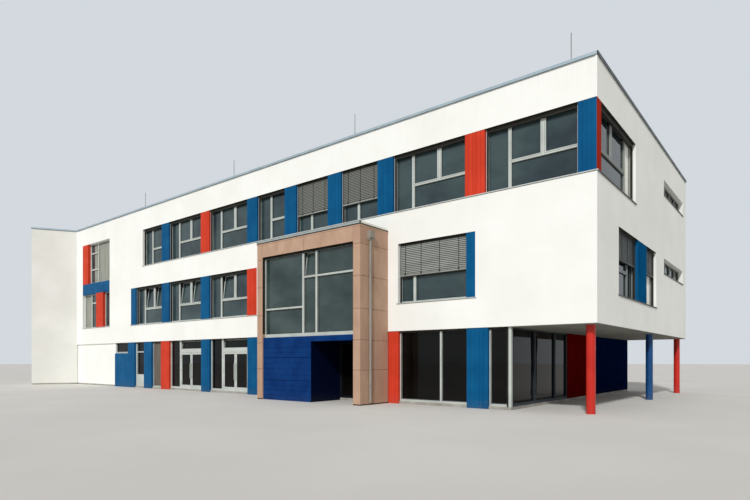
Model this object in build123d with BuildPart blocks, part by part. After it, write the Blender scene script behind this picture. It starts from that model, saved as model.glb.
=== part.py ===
from build123d import *
import os
from collections import namedtuple

# A three-storey school building: a long white block carried over an open corner on round columns,
# window bands with blue and red panels, a brown entrance portal and a short turned wing.
# The model is half the real size: 500 mm here is 1 m on the real school.
# Frame: +X to the right of the front, the front faces -Y, +Z up. The origin is on the ground,
# in the middle of the main block. Lengths along a wall are measured leftwards, seen from outside.

# Storeys
slab_thickness = 50
soffit_height = 1500
floor_thickness = 175
storey_height = 1860
parapet_height = 430
wall = 180
coping_height = 50
coping_overhang = 20
soffit_board = 12

# Bays of the front, from the right-hand corner
corner_bay = 2000
wide_bay = 2110
short_bay = 1465
end_bay = 1550
blank_wall = 2275
stair_width = 2135
left_pier = 495
last_bay = 2025
end_panel = 300
corner_panel = 310
panel_width = 410
panel_recess = 10
panel_depth = 150

# Lone window and stair window of the front
lone_start = 2190
lone_panel = 195
lone_width = 1785
lone_narrow_light = 290
lone_transom_rise = 600
stair_sill = 2100
stair_head = 5200
stair_band_low = 3350
stair_band_high = 3735
stair_side = 440
stair_bar = 50
stair_right_pane = 1000
stair_left_post = 70
stair_transom_rises = [490, 1090]
stair_right_light = 530
stair_red_panel = 520
stair_low_transom = 890

# Right-hand side, measured from the front corner
corner_side_panel = 250
corner_window_end = 2500
side_pair_start = 1275
side_near_width = 1425
side_panel_width = 750
side_far_width = 900
slot_near = 5175
slot_width = 2425
slot_height = 350
slot_lights = 4

# Back and wing
back_margin = 1155
ground_sill = 500
ground_head = 1400
wing_front_start = 1250
wing_side_start = 1500
wing_side_pitch = 2100
wing_side_bays = 3
wing_window_width = 1675

# Plan
block_depth = 8050
wing_step = 1498
wing_turn = 30.9
overhang = 1500

# Windows
first_sill_rise = 400
first_window_height = 1225
top_sill_rise = 440
top_window_height = 1175
window_setback = 100
frame_depth = 30
frame_bar = 35
mullion = 60
sash_mullion = 95
transom_bar = 55
transom_rise = 500
narrow_light = 390
glass_thickness = 12
glass_lap = 12
sill_plate = 15
sill_nose = 18
rail_width = 14
rail_depth = 45
rail_gap = 8
joint_gap = 4
seat_gap = 0.3
sill_ear = 25

# Sashes that stand tilted open
sash_lean = 7
sash_depth = 24
sash_bar = 30
sash_lap = 10
sash_glass = 10

# Blinds
raised_blind_height = 70
blind_head_height = 30
blind_depth = 40
slat_pitch = 36
slat_chord = 38
slat_lean = 62
slat_crown = 4
slat_thickness = 2
blind_rail_height = 20
blind_rail_depth = 30
top_blind_drop = 775
lone_blind_drop = 675
side_blind_drop = 550

# Ground floor
ground_setback = 50
ground_frame_setback = 80
ground_panel_setback = 20
post_width = 35
door_post = 75
corner_light = 440
corner_post = 80
corner_blue_panel = 440
hall_glazing = 1595
hall_first_light = 540
red_pier = 260
left_widths = [475, 565, 470, 611, 440, 915]
narrow_light_foot = 400
narrow_light_post = 85
narrow_light_transom = 1100
high_sill = 1140
high_foot = 60
side_glazing_reach = 2950
side_glazing_posts = [2230, 1160]
red_wall_reach = 4900
header_height = 110
door_height = 1075
top_rail = 35
door_narrow_light = 465
bottom_rail = 55

# Doors
leaf_gap = 5
meeting_gap = 9
leaf_stile = 50
leaf_bottom_rail = 110
leaf_glass = 10
knuckle_radius = 8
knuckle_height = 40
hinge_plate = 3
hinge_plate_width = 28
handle_radius = 8
handle_standoff = 30
handle_length = 450
handle_stud = 12
handle_stud_inset = 24
hinge_foot = 130
hinge_drop = 170
bar_sides = 16

# Portal
portal_projection = 900
portal_pillar = 185
portal_width = 3135
portal_top = 3560
portal_lintel = 295
portal_deck_top = 1415
portal_deck = 115
portal_glazing_setback = 75
navy_box_width = 1550
navy_box_setback = 25
portal_cap_height = 30
portal_cap_overhang = 10
portal_sill = 85
portal_mullion = 68
portal_right_pane = 1030
portal_vent_width = 335
portal_transom_bar = 55
portal_high_transom = 1260
portal_low_transom = 620
entrance_split = 590

# Columns, gutter pipe and rods
column_radius = 75
column_inset = 175
red_column_inset = 250
blue_column_distance = 4500
soffit_inset = 10
pipe_radius = 25
pipe_clearance = 12
pipe_depth = -625
clip_height = 20
clip_lap = 4
clip_heights = [400, 1600, 2700]
hopper_drop = 75
hopper_width = 130
hopper_height = 140
hopper_depth = 100
funnel_height = 45
funnel_taper = 24
rod_radius = 8
rod_height = 500
rod_spots = [445, 5225, 9580, 14265]

# Heights worked out from the storeys
first_floor = soffit_height + floor_thickness
second_floor = first_floor + storey_height
roof_top = second_floor + storey_height
parapet_top = roof_top + parapet_height
first_sill = first_floor + first_sill_rise
first_head = first_sill + first_window_height
top_sill = second_floor + top_sill_rise
top_head = top_sill + top_window_height
door_head = slab_thickness + door_height

# Lengths worked out from the bays
top_bays = [corner_bay, wide_bay, short_bay, short_bay, short_bay, wide_bay, wide_bay, end_bay]
top_colours = ["blue", "red", "blue", "blue", "blue", "blue", "red", "blue"]
band_end = sum(top_bays)
stair_start = band_end + blank_wall
stair_end = stair_start + stair_width
block_length = stair_end + left_pier
left_group = sum(top_bays[:5])

right_x = block_length / 2
front_y = -block_depth / 2
up = Vector(0, 0, 1)
Window = namedtuple("Window", "start end sill head panes tilted", defaults=[()])


def turned(vector, degrees):
    return vector.rotate(Axis.Z, degrees)


# Outline of the upper storeys, from the right-hand front corner, leftwards and round the back
right_front = Vector(right_x, front_y)
left_front = Vector(-right_x, front_y)
left_back = Vector(-right_x, -front_y)
right_back = Vector(right_x, -front_y)
wing_out = turned(Vector(0, -1), -wing_turn)
wing_along = turned(Vector(-1, 0), -wing_turn)
wing_width = (left_back - left_front).dot(wing_along)
wing_near = left_front + wing_out * wing_step
wing_far = wing_near + wing_along * wing_width
outline = [right_front, left_front, wing_near, wing_far, left_back, right_back]
FRONT, WING_RIGHT, WING_FRONT, WING_LEFT, BACK, RIGHT = range(6)


def corner(index):
    return outline[index % len(outline)]


def along(index):
    return (corner(index + 1) - corner(index)).normalized()


def inset(index, depth):
    """A corner of the outline, moved in by the same depth from both of its walls."""
    before = along(index - 1).cross(up)
    after = along(index).cross(up)
    return corner(index) + (before + after) * (depth / (1 + before.dot(after)))


def wall_plan(index, outer, inner, gap=0):
    """Four corners of one wall of the outline, mitred at both ends."""
    shift = along(index) * (gap / 2)
    start, end = index, index + 1
    return [inset(start, outer) + shift, inset(end, outer) - shift,
            inset(end, inner) - shift, inset(start, inner) + shift]


def facade(index):
    """The outer face of a wall: x runs leftwards, y up and z into the building."""
    return Plane(origin=corner(index), x_dir=along(index), z_dir=along(index).cross(up))


def spot(plane, distance, depth, height=0):
    """A point at a distance along a facade, a depth behind it and a height."""
    return plane.origin + plane.x_dir * distance + plane.z_dir * depth + up * height


front = facade(FRONT)
right = facade(RIGHT)
back = facade(BACK)
undercroft = Plane(origin=right_back + Vector(-overhang, 0), x_dir=(0, -1, 0), z_dir=(-1, 0, 0))


def prism(points, low, high):
    with BuildSketch(Plane.XY.offset(low)) as plan:
        with BuildLine():
            Polyline(*[(point.X, point.Y) for point in points], close=True)
        make_face()
    extrude(plan.sketch, amount=high - low, dir=(0, 0, 1))


def upright_bar(place, radius, low, high):
    """A slim upright bar, round as far as its few sides let it be."""
    with BuildSketch(Plane.XY.offset(low)) as ring:
        with Locations((place.X, place.Y)):
            RegularPolygon(radius, bar_sides)
    extrude(ring.sketch, amount=high - low, dir=(0, 0, 1))


def slabs(plane, rectangles, outer, inner, holes=(), mode=Mode.ADD):
    """Flat pieces of a facade between two depths, from rectangles (start, end, low, high)."""
    with BuildSketch(plane.offset(outer)) as face:
        for start, end, low, high in rectangles:
            with Locations(((start + end) / 2, (low + high) / 2)):
                Rectangle(end - start, high - low)
        for start, end, low, high in holes:
            with Locations(((start + end) / 2, (low + high) / 2)):
                Rectangle(end - start, high - low, mode=Mode.SUBTRACT)
    extrude(face.sketch, amount=inner - outer, dir=plane.z_dir, mode=mode)


def cut_openings(plane, rectangles, depth=wall):
    slabs(plane, rectangles, -depth, 2 * depth, mode=Mode.SUBTRACT)


def casement(start, end, sill, head, sashes=2, narrow_at="end", narrow=narrow_light,
             rise=transom_rise, open_sashes=()):
    """A window with one tall narrow light, and sashes over a fixed pane beside it."""
    low, high = sill + frame_bar, head - frame_bar
    first, last = start + frame_bar, end - frame_bar
    if narrow_at == "end":
        tall = (last - narrow, last, low, high)
        last = last - narrow - mullion
    else:
        tall = (first, first + narrow, low, high)
        first = first + narrow + mullion
    transom = sill + rise
    sash_width = (last - first - (sashes - 1) * sash_mullion) / sashes
    sash_pitch = sash_width + sash_mullion
    upper = [(first + i * sash_pitch, first + i * sash_pitch + sash_width,
              transom + transom_bar / 2, high) for i in range(sashes)]
    fixed = (first, last, low, transom - transom_bar / 2)
    tilted = [upper[index] for index in open_sashes]
    return Window(start, end, sill, head, [tall, fixed] + upper, tilted)


def lights_between(start, end, sill, head, post_ends, bottom=frame_bar):
    """A fixed window whose panes stand between posts, each given by its two edges."""
    firsts = [start + frame_bar] + [far for near, far in post_ends]
    lasts = [near for near, far in post_ends] + [end - frame_bar]
    panes = [(first, last, sill + bottom, head - frame_bar) for first, last in zip(firsts, lasts)]
    return Window(start, end, sill, head, panes)


def lights(start, end, sill, head, count, bottom=frame_bar):
    """A fixed window of equal panes side by side."""
    pitch = (end - start - 2 * frame_bar + mullion) / count
    posts = [start + frame_bar + index * pitch for index in range(1, count)]
    return lights_between(start, end, sill, head, [(post - mullion, post) for post in posts], bottom)


def divided(pane, bar_lows, bar):
    """The lights that level bars leave of one pane, from the bottom up."""
    start, end, low, high = pane
    lows = [low] + [bar_low + bar for bar_low in bar_lows]
    return [(start, end, *levels) for levels in zip(lows, bar_lows + [high])]


def bar_frame(plane, window, setback):
    rectangle = (window.start, window.end, window.sill, window.head)
    slabs(plane, [rectangle], setback, setback + frame_depth, holes=window.panes)


def guide_rails(plane, window, setback):
    """Two upright rails that a blind runs in, standing on the window's frame."""
    rails = [(edge, edge + rail_width, window.sill, window.head)
             for edge in (window.start + rail_gap, window.end - rail_gap - rail_width)]
    slabs(plane, rails, setback - rail_depth, setback)


def lapped(pane):
    """A pane's glass, which reaches a little way behind the bars around it."""
    start, end, low, high = pane
    return start - glass_lap, end + glass_lap, low - glass_lap, high + glass_lap


def glass_sheets(plane, window, setback):
    """One sheet behind the window, or one behind each shut pane where a sash stands open."""
    sheets = [(window.start + glass_lap, window.end - glass_lap,
               window.sill + glass_lap, window.head - glass_lap)]
    if window.tilted:
        sheets = [lapped(pane) for pane in window.panes if pane not in window.tilted]
    face = setback + frame_depth
    slabs(plane, sheets, face, face + glass_thickness)


def sash_place(plane, pane, setback):
    """The face of a bottom-hung sash that leans in, and its size (start, end, low, high) on it."""
    start, end, low, high = pane
    bottom = low - sash_lap
    inwards = plane.z_dir.rotate(Axis((0, 0, 0), plane.x_dir), sash_lean)
    lean = Plane(origin=spot(plane, 0, setback + frame_depth + seat_gap, bottom),
                 x_dir=plane.x_dir, z_dir=inwards)
    return lean, (start - sash_lap, end + sash_lap, 0, high + sash_lap - bottom)


def sash_light(size):
    start, end, low, high = size
    return start + sash_bar, end - sash_bar, low + sash_bar, high - sash_bar


def sash_frames(plane, window, setback):
    for pane in window.tilted:
        lean, size = sash_place(plane, pane, setback)
        slabs(lean, [size], 0, sash_depth, holes=[sash_light(size)])


def sash_panes(plane, window, setback):
    for pane in window.tilted:
        lean, size = sash_place(plane, pane, setback)
        face = (sash_depth - sash_glass) / 2
        slabs(lean, [sash_light(size)], face, face + sash_glass)


def band(bays, colours, start, sill, head, first_panel=panel_width, open_sashes=()):
    """Panels and windows of a band: each bay starts with its panel."""
    panels, windows = [], []
    for index, (bay, colour) in enumerate(zip(bays, colours)):
        width = first_panel if index == 0 else panel_width
        panels.append((colour, (start, start + width, sill, head)))
        sashes = 2 if bay > short_bay + panel_width else 1
        windows.append(casement(start + width, start + bay, sill, head, sashes,
                                open_sashes=open_sashes[index] if open_sashes else ()))
        start = start + bay
    return panels, windows


def of_colour(panels, colour):
    return [rectangle for name, rectangle in panels if name == colour]


# Top floor of the front: one band from the right-hand corner
top_panels, top_windows = band(top_bays, top_colours, 0, top_sill, top_head, corner_panel)

# First floor of the front: one window by itself, and a band left of the portal
first_bays = [wide_bay, wide_bay, last_bay]
first_panels, first_windows = band(first_bays, ["red", "blue", "blue"], left_group, first_sill,
                                   first_head, open_sashes=[(1,), (0, 1), (0, 1)])
first_end = left_group + sum(first_bays)
first_band_end = first_end + end_panel
lone_window_start = lone_start + lone_panel
lone_end = lone_start + lone_width
first_panels += [("blue", (first_end, first_band_end, first_sill, first_head)),
                 ("blue", (lone_start, lone_window_start, first_sill, first_head))]
lone_window = casement(lone_window_start, lone_end, first_sill, first_head,
                       narrow=lone_narrow_light, rise=lone_transom_rise)

# Stair window: a tall opening with panels across and beside it
upper_end = stair_end - stair_side
upper_low = stair_band_high + frame_bar
upper_high = stair_head - frame_bar
right_pane_end = stair_start + frame_bar + stair_right_pane
transom_lows = [stair_band_high + rise for rise in stair_transom_rises]
left_column = (right_pane_end + stair_bar, upper_end - stair_left_post, upper_low, upper_high)
upper_stair = Window(stair_start, upper_end, stair_band_high, stair_head,
                     [(stair_start + frame_bar, right_pane_end, upper_low, upper_high)]
                     + divided(left_column, transom_lows, stair_bar))
lower_red_start = stair_start + stair_right_light
lower_red_end = lower_red_start + stair_red_panel
lower_right_stair = lights(stair_start, lower_red_start, stair_sill, stair_band_low, 1)
lower_left_stair = lights(lower_red_end, stair_end, stair_sill, stair_band_low, 2)
near_pane, far_pane = lower_left_stair.panes
lower_left_stair = lower_left_stair._replace(
    panes=divided(near_pane, [stair_sill + stair_low_transom], stair_bar) + [far_pane])
stair_windows = [upper_stair, lower_right_stair, lower_left_stair]

# Right-hand side: distances here run from the back corner
corner_window = casement(block_depth - corner_window_end, block_depth - corner_side_panel,
                         top_sill, top_head, narrow_at="start")
side_near_start = block_depth - side_pair_start - side_near_width
side_panel_start = side_near_start - side_panel_width
side_panel = (side_panel_start, side_near_start, first_sill, first_head)
side_windows = [
    lights(side_panel_start - side_far_width, side_panel_start, first_sill, first_head, 1),
    casement(side_near_start, block_depth - side_pair_start, first_sill, first_head, sashes=1,
             narrow_at="start")]
slot_end = block_depth - slot_near
slots = [lights(slot_end - slot_width, slot_end, head - slot_height, head, slot_lights)
         for head in (top_head, first_head)]

# Back: two bands of wide bays, and a ground-floor band below
back_bays = [wide_bay] * int((block_length - 2 * back_margin) // wide_bay)
back_colours = (["blue", "blue", "red", "blue"] * len(back_bays))[:len(back_bays)]
back_top_panels, back_top_windows = band(back_bays, back_colours, back_margin, top_sill, top_head)
back_first_panels, back_first_windows = band(back_bays, back_colours[::-1], back_margin,
                                             first_sill, first_head)
back_ground_panels, back_ground_windows = band(back_bays[:-1], back_colours[1:], back_margin,
                                               ground_sill, ground_head)
back_end = back_margin + sum(back_bays)
back_ground_end = back_margin + sum(back_bays[:-1])

# Wing: one window a storey in its front, three in its left side
wing_windows = []
wing_storeys = [("ground", ground_sill, ground_head), ("first", first_sill, first_head),
                ("top", top_sill, top_head)]
wing_starts = [(WING_FRONT, wing_front_start)]
wing_starts += [(WING_LEFT, wing_side_start + wing_side_pitch * index)
                for index in range(wing_side_bays)]
for storey, sill, head in wing_storeys:
    for side, start in wing_starts:
        wing_windows.append((side, storey, casement(start, start + wing_window_width, sill, head)))


def ground_light(start, end, post_ends=()):
    """Ground-floor glazing from the floor to the soffit."""
    return lights_between(start, end, slab_thickness, soffit_height, list(post_ends), bottom_rail)


def ground_panel(start, end):
    return start, end, slab_thickness, soffit_height


# Ground floor of the front, from the open corner to the left
corner_blue_start = overhang + corner_light
corner_blue_end = corner_blue_start + corner_blue_panel
red_pier_start = corner_blue_end + hall_glazing
portal_start = red_pier_start + red_pier
portal_end = portal_start + portal_width
door_bay_one = left_group + panel_width
second_group = left_group + wide_bay
door_bay_two = second_group + panel_width
third_group = second_group + wide_bay

# Left of the doors: red panel, shut light, blue panel, narrow light, blue panel, high window
left_marks = [third_group + sum(left_widths[:index]) for index in range(len(left_widths) + 1)]
red_c, shut_c, blue_c, narrow_c, blue_d, high_c, high_end = left_marks
ground_panels = [
    ("blue", ground_panel(corner_blue_start, corner_blue_end)),
    ("red", ground_panel(red_pier_start, portal_start)),
    ("blue", ground_panel(left_group, door_bay_one)),
    ("blue", ground_panel(second_group, door_bay_two)),
    ("red", ground_panel(red_c, shut_c)),
    ("blue", ground_panel(blue_c, narrow_c)),
    ("blue", ground_panel(blue_d, high_c)),
    ("blue", (high_c, high_end, slab_thickness, high_sill))]
corner_window_light = ground_light(overhang, corner_blue_start)._replace(
    panes=[(overhang + corner_post, corner_blue_start - frame_bar, slab_thickness + bottom_rail,
            soffit_height - frame_bar)])
hall_post = corner_blue_end + frame_bar + hall_first_light
narrow_pane = (narrow_c + frame_bar, blue_d - narrow_light_post, slab_thickness + narrow_light_foot,
               soffit_height - frame_bar)
narrow_window = Window(narrow_c, blue_d, slab_thickness, soffit_height,
                       divided(narrow_pane, [slab_thickness + narrow_light_transom], transom_bar))
high_window = lights(high_c, high_end, high_sill, soffit_height, 1, high_foot)
ground_windows = [
    corner_window_light,
    ground_light(corner_blue_end, red_pier_start, [(hall_post, hall_post + mullion)]),
    ground_light(portal_end, left_group), ground_light(shut_c, blue_c), narrow_window, high_window]

# Glazed corner under the overhang: distances run from the back
side_glazing_end = block_depth - ground_frame_setback - frame_depth - glass_thickness - joint_gap
side_glazing_start = block_depth - side_glazing_reach
side_posts = [block_depth - distance for distance in side_glazing_posts]
side_glazing = ground_light(side_glazing_start, side_glazing_end,
                            [(post - mullion / 2, post + mullion / 2) for post in side_posts])
red_wall_start = block_depth - red_wall_reach

# Door bays: (start, end, post between the doors and the narrow light)
door_bays = [(door_bay_one, second_group), (door_bay_two, third_group)]


def door_opening(bay):
    """Clear width between the right jamb and the post of a double-door bay."""
    start, end = bay
    return start + post_width, end - post_width - door_narrow_light - door_post


entrance_start = portal_start + portal_pillar
entrance_end = portal_end - portal_pillar - navy_box_width
entrance_opening = (entrance_start + post_width, entrance_start + entrance_split)
entrance_head = portal_deck_top - portal_deck

os.makedirs("parts", exist_ok=True)


def save(builder, name):
    builder.part.label = name
    export_step(builder.part, f"parts/{name}.step")


# Floors and roof
with BuildPart() as ground_slab:
    prism([right_front + Vector(-overhang, ground_setback),
           inset(WING_RIGHT, ground_setback), corner(WING_RIGHT), corner(WING_FRONT),
           corner(WING_LEFT), corner(BACK),
           right_back + Vector(-overhang, 0)], 0, slab_thickness)
save(ground_slab, "ground_slab")

inner_outline = [inset(index, wall) for index in range(len(outline))]
for name, top in (("first_floor_slab", first_floor), ("second_floor_slab", second_floor),
                  ("roof_slab", roof_top)):
    with BuildPart() as floor:
        prism(inner_outline, top - floor_thickness, top)
    save(floor, name)

with BuildPart() as undercroft_soffit:
    prism([right_front + Vector(-soffit_inset, soffit_inset), right_front + Vector(-overhang, soffit_inset),
           right_back + Vector(-overhang, -soffit_inset), right_back + Vector(-soffit_inset, -soffit_inset)],
          soffit_height - soffit_board, soffit_height)
save(undercroft_soffit, "undercroft_soffit")

# Walls of the upper storeys
portal_opening = (portal_start + portal_pillar, portal_end - portal_pillar, first_floor,
                  portal_top - portal_lintel)
with BuildPart() as front_wall:
    prism(wall_plan(FRONT, 0, wall), soffit_height, parapet_top)
    cut_openings(front, [
        (-wall, band_end, top_sill - sill_plate, top_head),
        (lone_start, lone_end, first_sill - sill_plate, first_head),
        (left_group, first_band_end, first_sill - sill_plate, first_head),
        (stair_start, stair_end, stair_sill - sill_plate, stair_head),
        portal_opening])
save(front_wall, "front_wall")

with BuildPart() as right_wall:
    prism(wall_plan(RIGHT, 0, wall), soffit_height, parapet_top)
    cut_openings(right, [
        (corner_window.start, block_depth + wall, top_sill - sill_plate, top_head),
        (side_windows[0].start, side_windows[1].end, first_sill - sill_plate, first_head)]
        + [(slot.start, slot.end, slot.sill - sill_plate, slot.head) for slot in slots])
save(right_wall, "right_wall")

with BuildPart() as back_wall:
    prism(wall_plan(BACK, 0, wall), soffit_height, parapet_top)
    cut_openings(back, [(back_margin, back_end, top_sill - sill_plate, top_head),
                        (back_margin, back_end, first_sill - sill_plate, first_head)])
save(back_wall, "back_wall")

for index, name in ((WING_RIGHT, "wing_right_wall"), (WING_FRONT, "wing_front_wall"),
                    (WING_LEFT, "wing_left_wall")):
    with BuildPart() as wing_wall:
        prism(wall_plan(index, 0, wall), slab_thickness, parapet_top)
        for side, storey, window in wing_windows:
            if side == index:
                cut_openings(facade(index), [(window.start, window.end, window.sill - sill_plate,
                                              window.head)])
    save(wing_wall, name)

with BuildPart() as coping:
    for index in range(len(outline)):
        prism(wall_plan(index, -coping_overhang, wall + coping_overhang, joint_gap),
              parapet_top, parapet_top + coping_height)
save(coping, "coping")

# Walls of the ground floor
with BuildPart() as ground_front_wall:
    slabs(front, [(portal_start, entrance_start, slab_thickness, soffit_height),
                  (entrance_end, portal_end, slab_thickness, soffit_height)],
          ground_setback, wall)
    prism([spot(front, high_end, ground_setback), inset(WING_RIGHT, ground_setback),
           inset(WING_RIGHT, wall), spot(front, high_end, wall)], slab_thickness, soffit_height)
    slabs(front, [(overhang, overhang + corner_post, slab_thickness, soffit_height)],
          ground_setback, ground_frame_setback)
save(ground_front_wall, "ground_front_wall")

with BuildPart() as ground_back_wall:
    prism([inset(BACK, 0), right_back + Vector(-overhang - wall, 0),
           right_back + Vector(-overhang - wall, -wall), inset(BACK, wall)],
          slab_thickness, soffit_height)
    cut_openings(back, [(back_margin, back_ground_end, ground_sill - sill_plate, ground_head)])
save(ground_back_wall, "ground_back_wall")

with BuildPart() as undercroft_red_wall:
    slabs(undercroft, [(red_wall_start, side_glazing_start, slab_thickness, soffit_height)], 0, wall)
save(undercroft_red_wall, "undercroft_red_wall")

with BuildPart() as undercroft_navy_wall:
    slabs(undercroft, [(0, red_wall_start, slab_thickness, soffit_height)], 0, wall)
save(undercroft_navy_wall, "undercroft_navy_wall")

# Round columns under the overhang
with BuildPart() as red_columns:
    with BuildSketch():
        with Locations((right_x - column_inset, front_y + red_column_inset),
                       (right_x - column_inset, -front_y - red_column_inset)):
            Circle(column_radius)
    extrude(amount=soffit_height - soffit_board)
save(red_columns, "red_columns")

with BuildPart() as blue_column:
    with BuildSketch():
        with Locations((right_x - column_inset, front_y + blue_column_distance)):
            Circle(column_radius)
    extrude(amount=soffit_height - soffit_board)
save(blue_column, "blue_column")

# Coloured panels
panel_front = panel_recess
panel_back = panel_recess + panel_depth


def ground_boards(colour):
    """Ground-floor panels on the slab, each behind a board that runs down to the ground."""
    rectangles = of_colour(ground_panels, colour)
    slabs(front, rectangles, ground_setback, wall)
    slabs(front, [(start, end, 0, high) for start, end, low, high in rectangles],
          ground_panel_setback, ground_setback)


with BuildPart() as blue_panels:
    prism([spot(front, panel_front, panel_front), spot(front, corner_panel, panel_front),
           spot(front, corner_panel, panel_back), spot(front, panel_back, panel_back)],
          top_sill, top_head)
    slabs(front, of_colour(top_panels[1:], "blue") + of_colour(first_panels, "blue"),
          panel_front, panel_back)
    slabs(front, [(stair_start, stair_end, stair_band_low, stair_band_high)], panel_front, panel_back)
    ground_boards("blue")
    slabs(right, [side_panel], panel_front, panel_back)
    slabs(back, of_colour(back_top_panels, "blue") + of_colour(back_first_panels, "blue")
          + of_colour(back_ground_panels, "blue"), panel_front, panel_back)
save(blue_panels, "blue_panels")

with BuildPart() as red_panels:
    prism([spot(front, panel_front, panel_front), spot(front, panel_back, panel_back),
           spot(front, panel_back, corner_side_panel), spot(front, panel_front, corner_side_panel)],
          top_sill, top_head)
    slabs(front, of_colour(top_panels, "red") + of_colour(first_panels, "red"),
          panel_front, panel_back)
    slabs(front, [(upper_end, stair_end, stair_band_high, stair_head),
                  (lower_red_start, lower_red_end, stair_sill, stair_band_low)],
          panel_front, panel_back)
    ground_boards("red")
    slabs(back, of_colour(back_top_panels, "red") + of_colour(back_first_panels, "red")
          + of_colour(back_ground_panels, "red"), panel_front, panel_back)
save(red_panels, "red_panels")

# Windows of each storey, and those of them that have an outside blind
storeys = {
    "top": [(front, window) for window in top_windows + [upper_stair]]
           + [(right, corner_window), (right, slots[0])]
           + [(back, window) for window in back_top_windows]
           + [(facade(side), window) for side, storey, window in wing_windows if storey == "top"],
    "first": [(front, window) for window in first_windows + [lone_window] + stair_windows[1:]]
             + [(right, window) for window in side_windows + slots[1:]]
             + [(back, window) for window in back_first_windows]
             + [(facade(side), window) for side, storey, window in wing_windows if storey == "first"]}
blind_windows = {
    "top": [(front, window) for window in top_windows] + [(right, corner_window)],
    "first": [(front, window) for window in first_windows + [lone_window]]
             + [(right, window) for window in side_windows]}

# Window frames with their blind rails and open sashes, and the glass, storey by storey
for storey, placed in storeys.items():
    with BuildPart() as frames:
        for plane, window in placed:
            bar_frame(plane, window, window_setback)
            sash_frames(plane, window, window_setback)
        for plane, window in blind_windows[storey]:
            guide_rails(plane, window, window_setback)
    save(frames, f"{storey}_floor_frames")
    with BuildPart() as glass:
        for plane, window in placed:
            glass_sheets(plane, window, window_setback)
            sash_panes(plane, window, window_setback)
    save(glass, f"{storey}_floor_glass")

# Fixed lights, headers and tilted top lights of the door bays, between their posts
door_bay_bars = []
door_bay_lights = []
door_top_lights = []
for bay in door_bays:
    opening_start, opening_end = door_opening(bay)
    light_start = opening_end + door_post
    light_end = bay[1] - post_width
    header_top = door_head + header_height
    door_bay_bars += [(opening_start, opening_end, door_head, header_top),
                      (opening_start, opening_end, soffit_height - top_rail, soffit_height),
                      (light_start, light_end, slab_thickness, slab_thickness + bottom_rail),
                      (light_start, light_end, soffit_height - top_rail, soffit_height)]
    door_bay_lights.append((light_start, light_end, slab_thickness + bottom_rail,
                            soffit_height - top_rail))
    top_light = (opening_start, opening_end, header_top, soffit_height - top_rail)
    door_top_lights.append(Window(*top_light, [top_light], [top_light]))
entrance_light = (entrance_opening[1] + post_width, entrance_end - post_width)
door_bay_bars += [(*entrance_opening, door_head, entrance_head),
                  (*entrance_light, slab_thickness, slab_thickness + bottom_rail),
                  (*entrance_light, entrance_head - top_rail, entrance_head)]
door_bay_lights.append((*entrance_light, slab_thickness + bottom_rail, entrance_head - top_rail))
ground_placed = [(front, window, ground_frame_setback) for window in ground_windows]
ground_placed += [(undercroft, side_glazing, panel_recess)]
ground_placed += [(back, window, window_setback) for window in back_ground_windows]
ground_placed += [(facade(side), window, window_setback)
                  for side, storey, window in wing_windows if storey == "ground"]

with BuildPart() as ground_floor_frames:
    for plane, window, setback in ground_placed:
        bar_frame(plane, window, setback)
    slabs(front, door_bay_bars, ground_frame_setback, ground_frame_setback + frame_depth)
    for window in door_top_lights:
        sash_frames(front, window, ground_frame_setback)
save(ground_floor_frames, "ground_floor_frames")

with BuildPart() as ground_floor_glass:
    for plane, window, setback in ground_placed:
        glass_sheets(plane, window, setback)
    glass_face = ground_frame_setback + frame_depth
    slabs(front, [lapped(light) for light in door_bay_lights], glass_face,
          glass_face + glass_thickness)
    for window in door_top_lights:
        sash_panes(front, window, ground_frame_setback)
save(ground_floor_glass, "ground_floor_glass")

# Hinges: the leaf's knuckle stands just above the post's, and both have a plate
hinge_low = slab_thickness + hinge_foot
hinge_high = door_head - hinge_drop
hinge_heights = [hinge_low, (hinge_low + hinge_high) / 2, hinge_high]


def hinge_half(hinge, side, low):
    """One knuckle with its plate; side is +1 where the plate reaches to the left."""
    high = low + knuckle_height
    upright_bar(spot(front, hinge, ground_frame_setback - knuckle_radius), knuckle_radius, low, high)
    edges = sorted([hinge, hinge + side * hinge_plate_width])
    slabs(front, [(*edges, low, high)], ground_frame_setback - hinge_plate, ground_frame_setback)


# Each leaf: name, hinge edge and free edge of its clear opening, width of the gap at its free edge
leaves = []
for name, bay in (("left_door", door_bays[1]), ("right_door", door_bays[0])):
    opening_start, opening_end = door_opening(bay)
    middle = (opening_start + opening_end) / 2
    leaves.append((f"{name}_right_leaf", opening_start, middle, meeting_gap / 2))
    leaves.append((f"{name}_left_leaf", opening_end, middle, meeting_gap / 2))
leaves.append(("entrance_door_leaf", entrance_opening[0], entrance_opening[1], leaf_gap))


def hinge_axis(hinge_edge, free_edge):
    side = 1 if free_edge > hinge_edge else -1
    return hinge_edge + side * leaf_gap / 2, side


with BuildPart() as door_posts:
    posts = []
    for bay in door_bays:
        opening_start, opening_end = door_opening(bay)
        posts += [(bay[0], opening_start, slab_thickness, soffit_height),
                  (opening_end, opening_end + door_post, slab_thickness, soffit_height),
                  (bay[1] - post_width, bay[1], slab_thickness, soffit_height)]
    posts += [(entrance_start, entrance_opening[0], slab_thickness, entrance_head),
              (entrance_opening[1], entrance_opening[1] + post_width, slab_thickness, entrance_head),
              (entrance_end - post_width, entrance_end, slab_thickness, entrance_head)]
    slabs(front, posts, ground_frame_setback, ground_frame_setback + frame_depth)
    for name, hinge_edge, free_edge, free_gap in leaves:
        hinge, side = hinge_axis(hinge_edge, free_edge)
        for height in hinge_heights:
            hinge_half(hinge, -side, height)
save(door_posts, "door_posts")

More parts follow.
